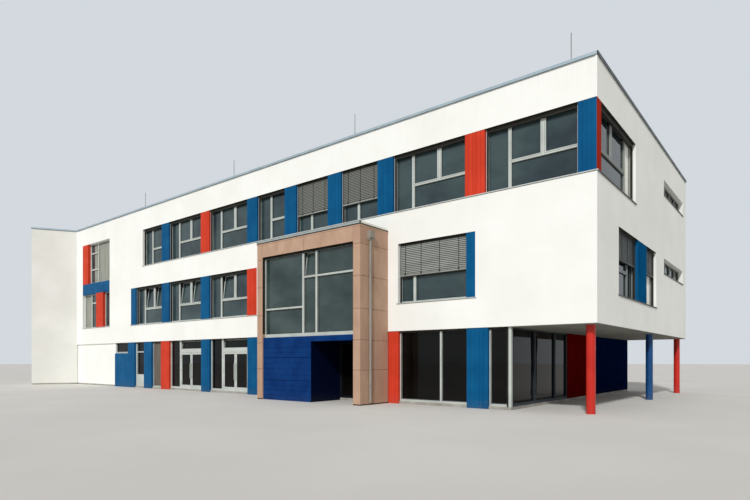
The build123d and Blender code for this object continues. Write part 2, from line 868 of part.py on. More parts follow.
for name, hinge_edge, free_edge, free_gap in leaves:
    hinge, side = hinge_axis(hinge_edge, free_edge)
    start, end = sorted([hinge_edge + side * leaf_gap, free_edge - side * free_gap])
    low, high = slab_thickness + leaf_gap, door_head - leaf_gap
    pane = (start + leaf_stile, end - leaf_stile, low + leaf_bottom_rail, high - leaf_stile)
    handle = free_edge - side * (free_gap + leaf_stile / 2)
    handle_low = low + (high - low - handle_length) / 2
    with BuildPart() as leaf:
        slabs(front, [(start, end, low, high)], ground_frame_setback,
              ground_frame_setback + frame_depth, holes=[pane])
        for height in hinge_heights:
            hinge_half(hinge, side, height + knuckle_height + seat_gap)
        upright_bar(spot(front, handle, ground_frame_setback - handle_standoff), handle_radius,
                    handle_low, handle_low + handle_length)
        slabs(front, [(handle - handle_stud / 2, handle + handle_stud / 2, height, height + handle_stud)
                      for height in (handle_low + handle_stud_inset,
                                     handle_low + handle_length - handle_stud_inset - handle_stud)],
              ground_frame_setback - handle_standoff, ground_frame_setback)
    save(leaf, name)
    with BuildPart() as leaf_pane:
        depth = ground_frame_setback + (frame_depth - leaf_glass) / 2
        slabs(front, [pane], depth, depth + leaf_glass)
    save(leaf_pane, name + "_glass")

# Portal: two side walls, a deep lintel roof and a deck that carries the glazed bay
with BuildPart() as portal_side_walls:
    slabs(front, [(portal_start, portal_start + portal_pillar, 0, portal_top - portal_lintel),
                  (portal_end - portal_pillar, portal_end, 0, portal_top - portal_lintel)],
          -portal_projection, 0)
save(portal_side_walls, "portal_side_walls")

with BuildPart() as portal_roof:
    slabs(front, [(portal_start, portal_end, portal_top - portal_lintel, portal_top)],
          -portal_projection, 0)
save(portal_roof, "portal_roof")

with BuildPart() as portal_cap:
    slabs(front, [(portal_start - portal_cap_overhang, portal_end + portal_cap_overhang, portal_top,
                   portal_top + portal_cap_height)], -portal_projection - portal_cap_overhang, 0)
save(portal_cap, "portal_cap")

portal_inside = (portal_start + portal_pillar, portal_end - portal_pillar)
with BuildPart() as portal_floor:
    slabs(front, [(*portal_inside, portal_deck_top - portal_deck, portal_deck_top)],
          -portal_projection + navy_box_setback, ground_setback)
    slabs(front, [(entrance_start, entrance_end, entrance_head, soffit_height)], ground_setback, wall)
save(portal_floor, "portal_floor")

with BuildPart() as navy_box:
    slabs(front, [(entrance_end, portal_inside[1], 0, portal_deck_top - portal_deck)],
          -portal_projection + navy_box_setback, ground_setback)
save(navy_box, "navy_box")

# Glazed bay over the deck: a wide light each side of a narrow one, whose top vent stands open
bay_low = portal_deck_top + portal_sill
bay_high = portal_top - portal_lintel - frame_bar
low_transom = portal_deck_top + portal_low_transom
high_transom = portal_deck_top + portal_high_transom
right_light = (portal_inside[0] + frame_bar, portal_inside[0] + frame_bar + portal_right_pane)
vent_light = (right_light[1] + portal_mullion, right_light[1] + portal_mullion + portal_vent_width)
left_light = (vent_light[1] + portal_mullion, portal_inside[1] - frame_bar)
portal_panes = [(*light, bay_low, transom) for light, transom in
                ((right_light, high_transom), (vent_light, high_transom), (left_light, low_transom))]
portal_panes += [(*light, transom + portal_transom_bar, bay_high) for light, transom in
                 ((right_light, high_transom), (vent_light, high_transom), (left_light, low_transom))]
portal_vent = portal_panes[4]
portal_glazing = Window(*portal_inside, portal_deck_top, portal_top - portal_lintel, portal_panes,
                        [portal_vent])
portal_glazing_depth = -portal_projection + portal_glazing_setback
with BuildPart() as portal_frame:
    bar_frame(front, portal_glazing, portal_glazing_depth)
    sash_frames(front, portal_glazing, portal_glazing_depth)
save(portal_frame, "portal_frame")

with BuildPart() as portal_glass:
    glass_sheets(front, portal_glazing, portal_glazing_depth)
    sash_panes(front, portal_glazing, portal_glazing_depth)
save(portal_glass, "portal_glass")

# Gutter box, funnel and pipe on the portal's right side
hopper_top = portal_top - hopper_drop
hopper_low = hopper_top - hopper_height
pipe_axis = portal_start - pipe_clearance - pipe_radius
hopper_edges = (pipe_depth - hopper_width / 2, pipe_depth + hopper_width / 2)
with BuildPart() as rain_pipe:
    foot = spot(front, pipe_axis, pipe_depth)
    with BuildSketch(Plane.XY.offset(slab_thickness)) as pipe_ring:
        with Locations((foot.X, foot.Y)):
            Circle(pipe_radius)
    extrude(pipe_ring.sketch, amount=hopper_low - slab_thickness, dir=(0, 0, 1))
    slabs(front, [(portal_start - hopper_depth, portal_start, hopper_low, hopper_top)], *hopper_edges)
    with BuildSketch(Plane.XY.offset(hopper_low)) as funnel:
        with Locations((foot.X, foot.Y)):
            Rectangle(2 * (pipe_radius + pipe_clearance), hopper_width)
    extrude(funnel.sketch, amount=-funnel_height, taper=funnel_taper)
    for height in clip_heights:
        slabs(front, [(pipe_axis - pipe_radius, portal_start, height, height + clip_height)],
              pipe_depth - pipe_radius - clip_lap, pipe_depth + pipe_radius + clip_lap)
save(rain_pipe, "rain_pipe")


# Sills along each opening, whose nose runs a little past it at both ends
def sill(plane, start, end, level, first_ear=sill_ear, last_ear=sill_ear):
    low = level - sill_plate
    slabs(plane, [(start, end, low, level)], 0, wall)
    slabs(plane, [(start - first_ear, end + last_ear, low, level)], -sill_nose, 0)


with BuildPart() as sills:
    sill(front, -sill_nose, band_end, top_sill, first_ear=0)
    sill(front, lone_start, lone_end, first_sill)
    sill(front, left_group, first_band_end, first_sill)
    sill(front, stair_start, stair_end, stair_sill)
    sill(right, corner_window.start, block_depth - wall - joint_gap, top_sill, last_ear=0)
    sill(right, side_windows[0].start, side_windows[1].end, first_sill)
    for slot in slots:
        sill(right, slot.start, slot.end, slot.sill)
    sill(back, back_margin, back_end, top_sill)
    sill(back, back_margin, back_end, first_sill)
    sill(back, back_margin, back_ground_end, ground_sill)
    for side, storey, window in wing_windows:
        sill(facade(side), window.start, window.end, window.sill)
save(sills, "sills")

# Outside blinds: a drawn-up stack at the head of a window, or a head rail and a curtain of slats
blind_back = window_setback - joint_gap
blind_front = blind_back - blind_depth
blind_middle = (blind_front + blind_back) / 2
blind_edge = rail_gap + rail_width + seat_gap
lowered = [(front, top_windows[2], top_blind_drop), (front, top_windows[3], top_blind_drop),
           (front, lone_window, lone_blind_drop)]
lowered += [(right, window, side_blind_drop) for window in side_windows]
lowered_windows = [window for plane, window, drop in lowered]

# Section of a slat, x outwards and y up: a blade bent along its middle, with its outer edge down
chord = turned(Vector(slat_chord / 2, 0), -slat_lean)
crown = turned(Vector(0, slat_crown), -slat_lean)
under = turned(Vector(0, -slat_thickness), -slat_lean)
slat_face = [-chord, crown, chord]
slat_section = [(point.X, point.Y)
                for point in slat_face + [point + under for point in reversed(slat_face)]]


def slat_curtain(plane, window, drop):
    """Slats from the head rail down to the bottom rail, with their ends in the guide rails."""
    start, end = window.start + blind_edge, window.end - blind_edge
    top = window.head - blind_head_height
    rail_low = window.head - drop
    count = int((top - rail_low - blind_rail_height) / slat_pitch)
    across = Plane(origin=spot(plane, start, blind_middle), x_dir=-plane.z_dir, z_dir=plane.x_dir)
    with BuildSketch(across) as blades:
        for index in range(count):
            with Locations((0, top - slat_pitch * (index + 0.5))):
                Polygon(*slat_section, align=None)
        with Locations((0, rail_low + blind_rail_height / 2)):
            Rectangle(blind_rail_depth, blind_rail_height)
    extrude(blades.sketch, amount=end - start, dir=plane.x_dir)


with BuildPart() as blinds:
    for plane, window in blind_windows["top"] + blind_windows["first"]:
        height = blind_head_height if window in lowered_windows else raised_blind_height
        slabs(plane, [(window.start + blind_edge, window.end - blind_edge,
                       window.head - height, window.head)], blind_front, blind_back)
    for plane, window, drop in lowered:
        slat_curtain(plane, window, drop)
save(blinds, "blinds")

# Lightning rods behind the front parapet
rod_foot = parapet_top + coping_height
with BuildPart() as lightning_rods:
    for distance in rod_spots:
        upright_bar(spot(front, distance, wall / 2), rod_radius, rod_foot, rod_foot + rod_height)
save(lightning_rods, "lightning_rods")
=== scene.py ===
import math
import random
from collections import namedtuple

import bmesh
import bpy
from mathutils import Matrix, Vector


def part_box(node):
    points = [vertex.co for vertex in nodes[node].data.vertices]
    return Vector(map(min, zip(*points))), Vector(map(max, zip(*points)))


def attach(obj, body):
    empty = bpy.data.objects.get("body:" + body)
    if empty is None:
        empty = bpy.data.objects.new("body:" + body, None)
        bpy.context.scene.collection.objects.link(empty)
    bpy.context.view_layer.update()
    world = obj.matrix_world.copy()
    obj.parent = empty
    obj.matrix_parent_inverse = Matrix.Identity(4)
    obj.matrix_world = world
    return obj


# A three-storey school building at half its real size, dressed around its CAD frame.
# Metres, +Z up, the front faces -Y. Widths that are given in millimetres are those of the model.

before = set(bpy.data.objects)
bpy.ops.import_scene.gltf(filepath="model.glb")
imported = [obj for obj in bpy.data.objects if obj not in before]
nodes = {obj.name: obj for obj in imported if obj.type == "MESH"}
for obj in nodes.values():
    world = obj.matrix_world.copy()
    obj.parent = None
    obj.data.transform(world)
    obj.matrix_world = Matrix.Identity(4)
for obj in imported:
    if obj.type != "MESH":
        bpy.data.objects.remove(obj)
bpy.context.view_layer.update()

MM = 0.001
UP = Vector((0, 0, 1))
LEFTWARDS, RIGHTWARDS, FORWARDS, BACKWARDS, DOWNWARDS = \
    (-1, 0, 0), (1, 0, 0), (0, -1, 0), (0, 1, 0), (0, 0, -1)

# The wing at the left end: how far it stands out of the front's line and how far it is turned
WING_STEP = 1.498
WING_TURN = math.radians(30.9)

# How far a plate reaches into the face that carries it
SUNK = 0.5 * MM


# Sides of the building
class Side:
    """A flat side: u runs along it leftwards seen from outside, v up it and d outwards."""

    def __init__(self, name, origin, across, out, length=math.inf):
        self.name, self.length = name, length
        self.origin = Vector(origin)
        self.across, self.out = Vector(across).normalized(), Vector(out).normalized()
        self.up = self.across.cross(self.out)

    def point(self, u, v, d=0.0):
        return self.origin + self.across * u + self.up * v + self.out * d

    def local(self, point):
        offset = point - self.origin
        return Vector((offset.dot(self.across), offset.dot(self.up), offset.dot(self.out)))

    def leaning(self, out):
        """The same side, tipped so that it faces the way that a leaning sash does."""
        return Side(self.name, self.origin, self.across, out, self.length)


def wall_side(name, start, end):
    across = (end - start).normalized()
    return Side(name, start, across, UP.cross(across), (end - start).length)


def sides_of_box(name, low, high):
    """The front, right and left sides of a box that stands in line with the building."""
    width, depth = high.x - low.x, high.y - low.y
    return (Side(name + "_front", (high.x, low.y, 0), LEFTWARDS, FORWARDS, width),
            Side(name + "_right", (high.x, high.y, 0), FORWARDS, RIGHTWARDS, depth),
            Side(name + "_left", (low.x, low.y, 0), BACKWARDS, LEFTWARDS, depth))


front_low, front_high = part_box("front_wall")
front_y, parapet_top = front_low.y, front_high.z
right_x, back_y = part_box("right_wall")[1].x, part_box("back_wall")[1].y
portal_low, portal_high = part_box("portal_roof")
deck_low, deck_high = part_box("portal_floor")
box_low, box_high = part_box("navy_box")
soffit_low, soffit_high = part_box("undercroft_soffit")
coping_low, coping_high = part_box("coping")
cap_low, cap_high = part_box("portal_cap")
hall_wall_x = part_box("undercroft_red_wall")[1].x
roof_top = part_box("roof_slab")[1].z

wing_out, wing_along = [Matrix.Rotation(-WING_TURN, 3, "Z") @ Vector(way) for way in (FORWARDS, LEFTWARDS)]
left_front, left_back = Vector((-right_x, front_y, 0)), Vector((-right_x, back_y, 0))
wing_near = left_front + wing_out * WING_STEP
wing_far = wing_near + wing_along * (left_back - left_front).dot(wing_along)
starts = {"front": Vector((right_x, front_y, 0)), "wing_right": left_front, "wing_front": wing_near,
          "wing_left": wing_far, "back": left_back, "right": Vector((right_x, back_y, 0))}
outer_sides = [wall_side(name, start, end) for (name, start), end
               in zip(starts.items(), [*starts.values()][1:] + [starts["front"]])]
sides = {side.name: side for side in outer_sides}
sides["portal"] = Side("portal", (right_x, portal_low.y, 0), LEFTWARDS, FORWARDS)
sides["undercroft"] = Side("undercroft", (hall_wall_x, back_y, 0), FORWARDS, RIGHTWARDS)
soffit = Side("soffit", (soffit_high.x, soffit_high.y, soffit_low.z), LEFTWARDS, DOWNWARDS)


# Reading the CAD pieces
Island = namedtuple("Island", "node side faces low high")
Pane = namedtuple("Pane", "node side rect face island")

SIDE_REACH = (-0.27, 0.06)
FACING = 0.985
FLAT = 0.999
UPRIGHT = 0.9999
ROUNDING = 4


def groups(members, neighbours):
    """Members that hang together through their neighbours, in the same order each run."""
    left, found = dict.fromkeys(members), []
    while left:
        stack, group = [left.popitem()[0]], []
        while stack:
            group.append(stack.pop())
            for near in neighbours(group[-1]):
                if near in left:
                    del left[near]
                    stack.append(near)
        found.append(group)
    return found


def solids_of(name):
    """The separate solids of a CAD node, as lists of (normal, corner points), lowest corner first."""
    weld = bmesh.new()
    weld.from_mesh(nodes[name].data)
    bmesh.ops.remove_doubles(weld, verts=weld.verts, dist=1e-5)
    solids = groups(weld.faces, lambda face: [near for edge in face.edges for near in edge.link_faces])
    found = [[(face.normal.copy(), [vert.co.copy() for vert in face.verts]) for face in solid]
             for solid in solids]
    weld.free()
    found.sort(key=lambda faces: min(tuple(round(c, 3) for c in point)
                                     for normal, points in faces for point in points))
    return found


def box_around(points):
    return [Vector([pick(point[axis] for point in points) for axis in range(3)]) for pick in (min, max)]


def area(points):
    return sum(((b - points[0]).cross(c - points[0])).length / 2
               for b, c in zip(points[1:], points[2:]))


def island_on(name, faces, candidates):
    """The side that a solid belongs to, as an Island with its box on that side, or None."""
    points = [point for normal, corner_points in faces for point in corner_points]
    centre = sum(points, Vector()) / len(points)
    best, best_area = None, 0
    for side in candidates:
        u, v, d = side.local(centre)
        if not (SIDE_REACH[0] < d < SIDE_REACH[1] and 0 <= u <= side.length):
            continue
        facing = [(normal, area(corner_points)) for normal, corner_points in faces
                  if normal.dot(side.out) > FACING]
        total = sum(size for normal, size in facing)
        if total > best_area:
            mean = sum((normal * size for normal, size in facing), Vector()).normalized()
            best, best_area = (side if mean.dot(side.out) >= UPRIGHT else side.leaning(mean)), total
    if best is not None:
        return Island(name, best, faces, *box_around([best.local(point) for point in points]))


def islands(name, candidates=None):
    found = [island_on(name, faces, candidates or sides.values()) for faces in solids_of(name)]
    return [island for island in found if island]


def outline(island, u0=0.0, u1=0.0, v0=0.0, v1=0.0):
    """A solid's outline on its side, each edge moved by an offset."""
    return island.low.x + u0, island.high.x + u1, island.low.y + v0, island.high.y + v1


def inside(polygon, u, v):
    """Whether a point lies in a polygon of (u, v) corners."""
    hit = False
    for (u0, v0), (u1, v1) in zip(polygon, polygon[1:] + polygon[:1]):
        if (v0 > v) != (v1 > v) and u < (u1 - u0) * (v - v0) / (v1 - v0) + u0:
            hit = not hit
    return hit


def outward_faces(island):
    """The outward faces of a solid, as (polygon of (u, v) corners, depth, area)."""
    found = []
    for normal, points in island.faces:
        if normal.dot(island.side.out) > FLAT:
            flat = [island.side.local(point) for point in points]
            found.append(([(p.x, p.y) for p in flat], flat[0].z, area(points)))
    return found


def grid_lines(covers):
    """The u values and the v values of the corners of the polygons."""
    return [sorted({round(corner[axis], ROUNDING) for cover in covers for corner in cover})
            for axis in range(2)]


def panes_of(island):
    """The rectangular lights of a frame: what its outward faces leave open."""
    faces = outward_faces(island)
    if not faces:
        return []
    covers, depths = [polygon for polygon, depth, size in faces], {}
    for polygon, depth, size in faces:
        depths[round(depth, ROUNDING)] = depths.get(round(depth, ROUNDING), 0) + size
    us, vs = grid_lines(covers)
    open_cells = [(i, j) for i in range(len(us) - 1) for j in range(len(vs) - 1)
                  if us[i + 1] - us[i] > MM and vs[j + 1] - vs[j] > MM
                  and not any(inside(cover, (us[i] + us[i + 1]) / 2, (vs[j] + vs[j + 1]) / 2)
                              for cover in covers)]
    found = []
    for cells in groups(open_cells, lambda cell: [(cell[0] + i, cell[1] + j) for i, j
                                                  in ((1, 0), (-1, 0), (0, 1), (0, -1))]):
        columns, rows = [i for i, j in cells], [j for i, j in cells]
        rect = us[min(columns)], us[max(columns) + 1], vs[min(rows)], vs[max(rows) + 1]
        found.append(Pane(island.node, island.side, rect, max(depths, key=depths.get), island))
    return sorted(found, key=lambda pane: pane.rect)


def face_rects(island):
    """The upright strips that make up the outermost face of a solid."""
    covers = [polygon for polygon, depth, size in outward_faces(island) if abs(depth - island.high.z) < MM]
    us, vs = grid_lines(covers)
    strips = []
    for u0, u1 in zip(us, us[1:]):
        runs = []
        for v0, v1 in zip(vs, vs[1:]):
            if any(inside(cover, (u0 + u1) / 2, (v0 + v1) / 2) for cover in covers):
                low = runs.pop()[0] if runs and runs[-1][1] == v0 else v0
                runs.append((low, v1))
        for low, high in runs:
            start = strips.pop()[0] if strips and strips[-1][1:] == (u0, low, high) else u0
            strips.append((start, u1, low, high))
    return strips


# Making meshes
pieces = []


def hoops(side, rect, profile):
    """Four corners round a rectangle for each (offset outside it, depth) of a profile."""
    u0, u1, v0, v1 = rect
    return [side.point(u, v, d) for offset, d in profile
            for u, v in ((u0 - offset, v0 - offset), (u1 + offset, v0 - offset),
                         (u1 + offset, v1 + offset), (u0 - offset, v1 + offset))]


def between_hoops(pairs):
    return [(4 * first + i, 4 * first + (i + 1) % 4, 4 * second + (i + 1) % 4, 4 * second + i)
            for first, second in pairs for i in range(4)]


def strip(inner, outer, back, face):
    """The profile of a flat strip that is carried round a rectangle."""
    return [(inner, back), (inner, face), (outer, face), (outer, back)]


class Piece:
    """Collects flat faces on the sides of the building, to make one object of them at the end."""

    def __init__(self, name, material, slot, body="building"):
        self.name, self.material, self.slot, self.body = name, material, slot, body
        self.points, self.faces, self.shades = [], [], []
        pieces.append(self)

    def add(self, points, faces, shade=0.5):
        start = len(self.points)
        self.points += [tuple(point) for point in points]
        self.faces += [tuple(start + index for index in face) for face in faces]
        self.shades += [shade] * len(faces)

    def ring(self, side, rect, profile):
        """A closed profile of (offset outside the rectangle, depth) carried round it, mitred."""
        count = len(profile)
        self.add(hoops(side, rect, profile), between_hoops([(k, (k + 1) % count) for k in range(count)]))

    def plate(self, side, rect, back, face, chamfer=0.0, shade=0.5):
        """A flat plate between two depths, its front edges chamfered."""
        levels = [(0.0, back), (0.0, face - chamfer)] + ([(-chamfer, face)] if chamfer else [])
        last = len(levels) - 1
        faces = [(0, 1, 2, 3), *between_hoops([(k, k + 1) for k in range(last)]),
                 tuple(4 * last + i for i in range(4))]
        self.add(hoops(side, rect, levels), faces, shade)

    def cover(self, island, thickness, chamfer=0.0, **moved):
        """A plate on the outer face of a solid."""
        face = island.high.z
        self.plate(island.side, outline(island, **moved), face - SUNK, face + thickness, chamfer)

    def tube(self, start, end, radius, sides_round=16, end_radius=None):
        """A round bar or cone from one point to another, closed at both ends."""
        along = (end - start).normalized()
        first = along.orthogonal().normalized()
        second = along.cross(first)
        n = sides_round
        turns = [2 * math.pi * k / n for k in range(n)]
        points = [centre + (first * math.cos(turn) + second * math.sin(turn)) * r
                  for centre, r in ((start, radius), (end, end_radius or radius)) for turn in turns]
        faces = [(k, (k + 1) % n, n + (k + 1) % n, n + k) for k in range(n)]
        self.add(points, faces + [tuple(range(n)), tuple(range(n, 2 * n))])

    def finish(self):
        mesh = bpy.data.meshes.new(self.name)
        mesh.from_pydata(self.points, [], self.faces)
        shade = mesh.attributes.new("shade", "FLOAT", "FACE")
        shade.data.foreach_set("value", self.shades)
        turned = bmesh.new()
        turned.from_mesh(mesh)
        bmesh.ops.recalc_face_normals(turned, faces=turned.faces)
        turned.to_mesh(mesh)
        turned.free()
        mesh.materials.append(self.material)
        made = in_scene(self.name, mesh)
        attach(made, self.body)


def in_scene(name, data):
    made = bpy.data.objects.new(name, data)
    bpy.context.scene.collection.objects.link(made)
    return made


# Materials
def linear(code):
    """A colour given as sRGB hex, in the linear values that the shader works with."""
    channels = [int(code[k:k + 2], 16) / 255 for k in (1, 3, 5)]
    return [c / 12.92 if c <= 0.04045 else ((c + 0.055) / 1.055) ** 2.4 for c in channels] + [1.0]


def supply(tree, node, inputs):
    """Gives the inputs of a node their values, or links where a value is another node's output."""
    for key, value in (inputs if isinstance(inputs, dict) else dict(enumerate(inputs))).items():
        if isinstance(value, bpy.types.NodeSocket):
            tree.links.new(value, node.inputs[key])
        else:
            node.inputs[key].default_value = linear(value) if isinstance(value, str) else value


def add(tree, kind, inputs=(), output=0, tones=(), at=(0.35, 0.65), **settings):
    """Adds a shader node with its settings, its inputs and the tones of its ramp, and gives back one
    of its outputs. The two colours of a Mix node are its inputs 6 and 7, their mix is output 2."""
    made = tree.nodes.new("ShaderNode" + kind)
    for name, value in settings.items():
        setattr(made, name, value)
    supply(tree, made, inputs)
    for index, (position, code) in enumerate(zip(at, tones)):
        stop = made.color_ramp.elements[index]
        stop.position, stop.color = position, linear(code)
    return made.outputs[output]


def new_material(name):
    """An empty material with its tree, its shader and the place on the object."""
    material = bpy.data.materials.new(name)
    material.use_nodes = True
    tree = material.node_tree
    return material, tree, tree.nodes["Principled BSDF"], add(tree, "TexCoord", output="Object")


def mottling(tree, place, size, detail=3.0, stretch=(1, 1, 1), roughness=0.5):
    """Soft mottling of about one size in metres across, drawn out along the axes."""
    scaled = add(tree, "Mapping", {"Vector": place, "Scale": [1 / (size * s) for s in stretch]})
    return add(tree, "TexNoise", {"Vector": scaled, "Scale": 1.0, "Detail": detail, "Roughness": roughness})


def coloured_by_zone(tree, place, colour, colours_by_zone):
    """A colour with others laid over it, each in a zone between two corners; most of them are painted shade,
    one is painted sunlight.
    """
    for (low, high), coat in colours_by_zone:
        within = 1.0
        for axis, start, end in zip(add(tree, "SeparateXYZ", [place]).node.outputs, low, high):
            for operation, limit in (("GREATER_THAN", start), ("LESS_THAN", end)):
                test = add(tree, "Math", [axis, limit], operation=operation)
                within = add(tree, "Math", [within, test], operation="MULTIPLY")
        colour = add(tree, "Mix", {0: within, 6: colour, 7: coat}, 2, data_type="RGBA")
    return colour


def own_shade(tree, colour, deeper, most):
    """Every board or sheet is a shade of its own, up to a share of the way to a deeper colour."""
    own = add(tree, "Attribute", output="Fac", attribute_name="shade")
    share = add(tree, "MapRange", [own, 0.0, 1.0, 0.0, most])
    return add(tree, "Mix", {0: share, 6: colour, 7: deeper}, 2, data_type="RGBA")


def soiled(tree, place, colour, dirt, heights, marks):
    """Dirt that lies in marks of its own and fades out between two heights."""
    height = add(tree, "SeparateXYZ", [place], "Z")
    amount = add(tree, "Math", [add(tree, "MapRange", [height, *heights]), marks], operation="MULTIPLY")
    return add(tree, "Mix", {0: amount, 6: colour, 7: dirt}, 2, data_type="RGBA")


def scraped_render(name, dark, light):
    """White mineral render, scraped by hand: dead matt, a grain that catches raking light,
    broad soft patches from its drying, and faint runs of dust below the coping."""
    material, tree, shader, place = new_material(name)
    # the real grain is 2 mm; it is drawn 12 mm coarse, or it would not show from the street
    grain = mottling(tree, place, 12 * MM, 2.0, roughness=0.7)
    colour = add(tree, "ValToRGB", [mottling(tree, place, 900 * MM)], tones=(dark, light))
    runs = add(tree, "MapRange", [mottling(tree, place, 60 * MM, 2.0, (1, 1, 16)), 0.5, 0.75, 0.0, 0.1])
    supply(tree, shader, {
        "Base Color": soiled(tree, place, colour, "#B9B6AB", (parapet_top - 0.55, parapet_top), runs),
        "Specular IOR Level": 0.25, "Roughness": 0.93,
        "Normal": add(tree, "Bump", {"Height": grain, "Strength": 0.5, "Distance": 4 * MM})})
    return material


def coated_metal(name, dark, light, rough=0.38, gloss=0.3, splash=0.0, colours_by_zone=(), deeper=None):
    """Powder-coated aluminium or steel: one even satin colour with the faint orange peel of the
    coat, a little dulled by dust, and splashed with dirt near the ground where it reaches it."""
    material, tree, shader, place = new_material(name)
    patches = mottling(tree, place, 350 * MM)
    colour = add(tree, "ValToRGB", [patches], tones=(dark, light))
    colour = coloured_by_zone(tree, place, colour, colours_by_zone)
    if deeper:
        colour = own_shade(tree, colour, deeper, 0.3)
    if splash:
        spots = add(tree, "MapRange", [mottling(tree, place, 45 * MM, 4.0), 0.45, 0.7, 0.0, 0.45])
        colour = soiled(tree, place, colour, "#6E6A62", (splash, 0.03), spots)
    # the peel of a powder coat is about 2.5 mm across
    peel = mottling(tree, place, 2.5 * MM, 1.0)
    supply(tree, shader, {
        "Base Color": colour, "Specular IOR Level": gloss,
        "Roughness": add(tree, "MapRange", [patches, 0.3, 0.7, rough + 0.07, rough - 0.05]),
        "Normal": add(tree, "Bump", {"Height": peel, "Strength": 0.12, "Distance": 0.4 * MM})})
    return material


def anodised_aluminium(name, dark, light, rough=0.42, metal=0.4, colours_by_zone=()):
    """Anodised aluminium sheet: a soft metal sheen, drawn lengthways and clouded by weather."""
    material, tree, shader, place = new_material(name)
    clouds = mottling(tree, place, 260 * MM, 4.0)
    colour = add(tree, "ValToRGB", [clouds], tones=(dark, light))
    # the real drawing lines are under 1 mm wide; they are drawn 3 mm wide
    draw = mottling(tree, place, 3 * MM, 2.0, (14, 14, 1))
    supply(tree, shader, {
        "Base Color": coloured_by_zone(tree, place, colour, colours_by_zone), "Metallic": metal,
        "Roughness": add(tree, "MapRange", [clouds, 0.3, 0.7, rough + 0.1, rough - 0.07]),
        "Normal": add(tree, "Bump", {"Height": draw, "Strength": 0.08, "Distance": 0.3 * MM})})
    return material


def sealing_rubber():
    """EPDM gasket: black, matt, slightly greyed by the sun."""
    material, tree, shader, place = new_material("epdm_gasket")
    clouds = mottling(tree, place, 120 * MM, 2.0)
    supply(tree, shader, {"Base Color": add(tree, "ValToRGB", [clouds], tones=("#16181A", "#24272A")),
                          "Roughness": add(tree, "MapRange", [clouds, 0.3, 0.7, 0.75, 0.6])})
    return material


def float_glass(name, deep, pale, clear, gloss=0.4, colours_by_zone=()):
    """Double glazing with a sun coating. Its dark base colour, a little green-blue, is painted shade of the
    rooms behind it. Its panes are never quite flat, so that what they mirror wavers. Clear says how much of
    the room behind shows through."""
    material, tree, shader, place = new_material(name)
    drift = mottling(tree, place, 1100 * MM, stretch=(1, 1, 0.6))
    colour = add(tree, "ValToRGB", [drift], tones=(deep, pale), at=(0.35, 0.62))
    waver = mottling(tree, place, 420 * MM, 1.0)
    supply(tree, shader, {
        "Base Color": coloured_by_zone(tree, place, colour, colours_by_zone), "Roughness": 0.02,
        "Specular IOR Level": gloss, "IOR": 1.52, "Transmission Weight": clear,
        "Normal": add(tree, "Bump", {"Height": waver, "Strength": 0.35, "Distance": 3 * MM})})
    return material


def fibre_cement():
    """Through-coloured fibre-cement board: matt tan, cloudy as the sheets come off the press, with
    pale fibre flecks; each sheet is a shade of its own."""
    material, tree, shader, place = new_material("tan_fibre_cement")
    clouds = mottling(tree, place, 220 * MM, 5.0, (1, 1, 2))
    colour = add(tree, "ValToRGB", [clouds], tones=("#B3927C", "#C4A48D"), at=(0.3, 0.7))
    colour = own_shade(tree, colour, "#AE8A73", 0.45)
    # the real flecks are under 1 mm; they are drawn 4 mm across
    flecks = add(tree, "MapRange", [mottling(tree, place, 4 * MM, 2.0), 0.62, 0.75, 0.0, 0.2])
    press = mottling(tree, place, 6 * MM)
    supply(tree, shader, {
        "Base Color": add(tree, "Mix", {0: flecks, 6: colour, 7: "#D6BEAB"}, 2, data_type="RGBA"),
        "Roughness": 0.8, "Specular IOR Level": 0.2,
        "Normal": add(tree, "Bump", {"Height": press, "Strength": 0.25, "Distance": MM})})
    return material


def painted_board(name, dark, light, gloss=0.03, colours_by_zone=()):
    """Painted boards: a flat coat of deep colour that lets the grain of the board show along it,
    and a little dirt splashed up from the ground."""
    material, tree, shader, place = new_material(name)
    # grain lines of about 5 mm, each drawn out over 150 mm of the board
    grain = mottling(tree, place, 5 * MM, 4.0, (30, 30, 1))
    colour = add(tree, "ValToRGB", [mottling(tree, place, 300 * MM)], tones=(dark, light))
    spots = add(tree, "MapRange", [mottling(tree, place, 35 * MM, 4.0), 0.45, 0.7, 0.0, 0.15])
    colour = coloured_by_zone(tree, place, colour, colours_by_zone)
    supply(tree, shader, {
        "Base Color": soiled(tree, place, colour, "#7B7367", (0.22, 0.0), spots),
        "Roughness": add(tree, "MapRange", [grain, 0.3, 0.7, 0.5, 0.36]), "Specular IOR Level": gloss,
        "Normal": add(tree, "Bump", {"Height": grain, "Strength": 0.25, "Distance": 0.8 * MM})})
    return material


def smooth_plaster(name, dark, light):
    """Painted plaster or soffit board: matt and even, with the roller's faint texture."""
    material, tree, shader, place = new_material(name)
    colour = add(tree, "ValToRGB", [mottling(tree, place, 500 * MM)], tones=(dark, light))
    roller = mottling(tree, place, 7 * MM, 2.0)
    supply(tree, shader, {
        "Base Color": colour, "Roughness": 0.85,
        "Normal": add(tree, "Bump", {"Height": roller, "Strength": 0.2, "Distance": MM})})
    return material


def floated_concrete():
    """Floated concrete: grey, cloudy, with fine pores and a dusty matt surface."""
    material, tree, shader, place = new_material("floated_concrete")
    clouds = mottling(tree, place, 400 * MM, 5.0)
    colour = add(tree, "ValToRGB", [clouds], tones=("#8F8C85", "#B0ADA5"))
    # the real pores lie a few millimetres apart; they are drawn 22 mm apart
    pores = add(tree, "TexVoronoi", {"Vector": place, "Scale": 1 / (22 * MM)}, "Distance")
    pores = add(tree, "MapRange", [pores, 0.12, 0.02, 0.0, 0.6])
    supply(tree, shader, {
        "Base Color": add(tree, "Mix", {0: pores, 6: colour, 7: "#6D6A64"}, 2, data_type="RGBA"),
        "Roughness": 0.88,
        "Normal": add(tree, "Bump", {"Height": clouds, "Strength": 0.2, "Distance": 2 * MM})})
    return material


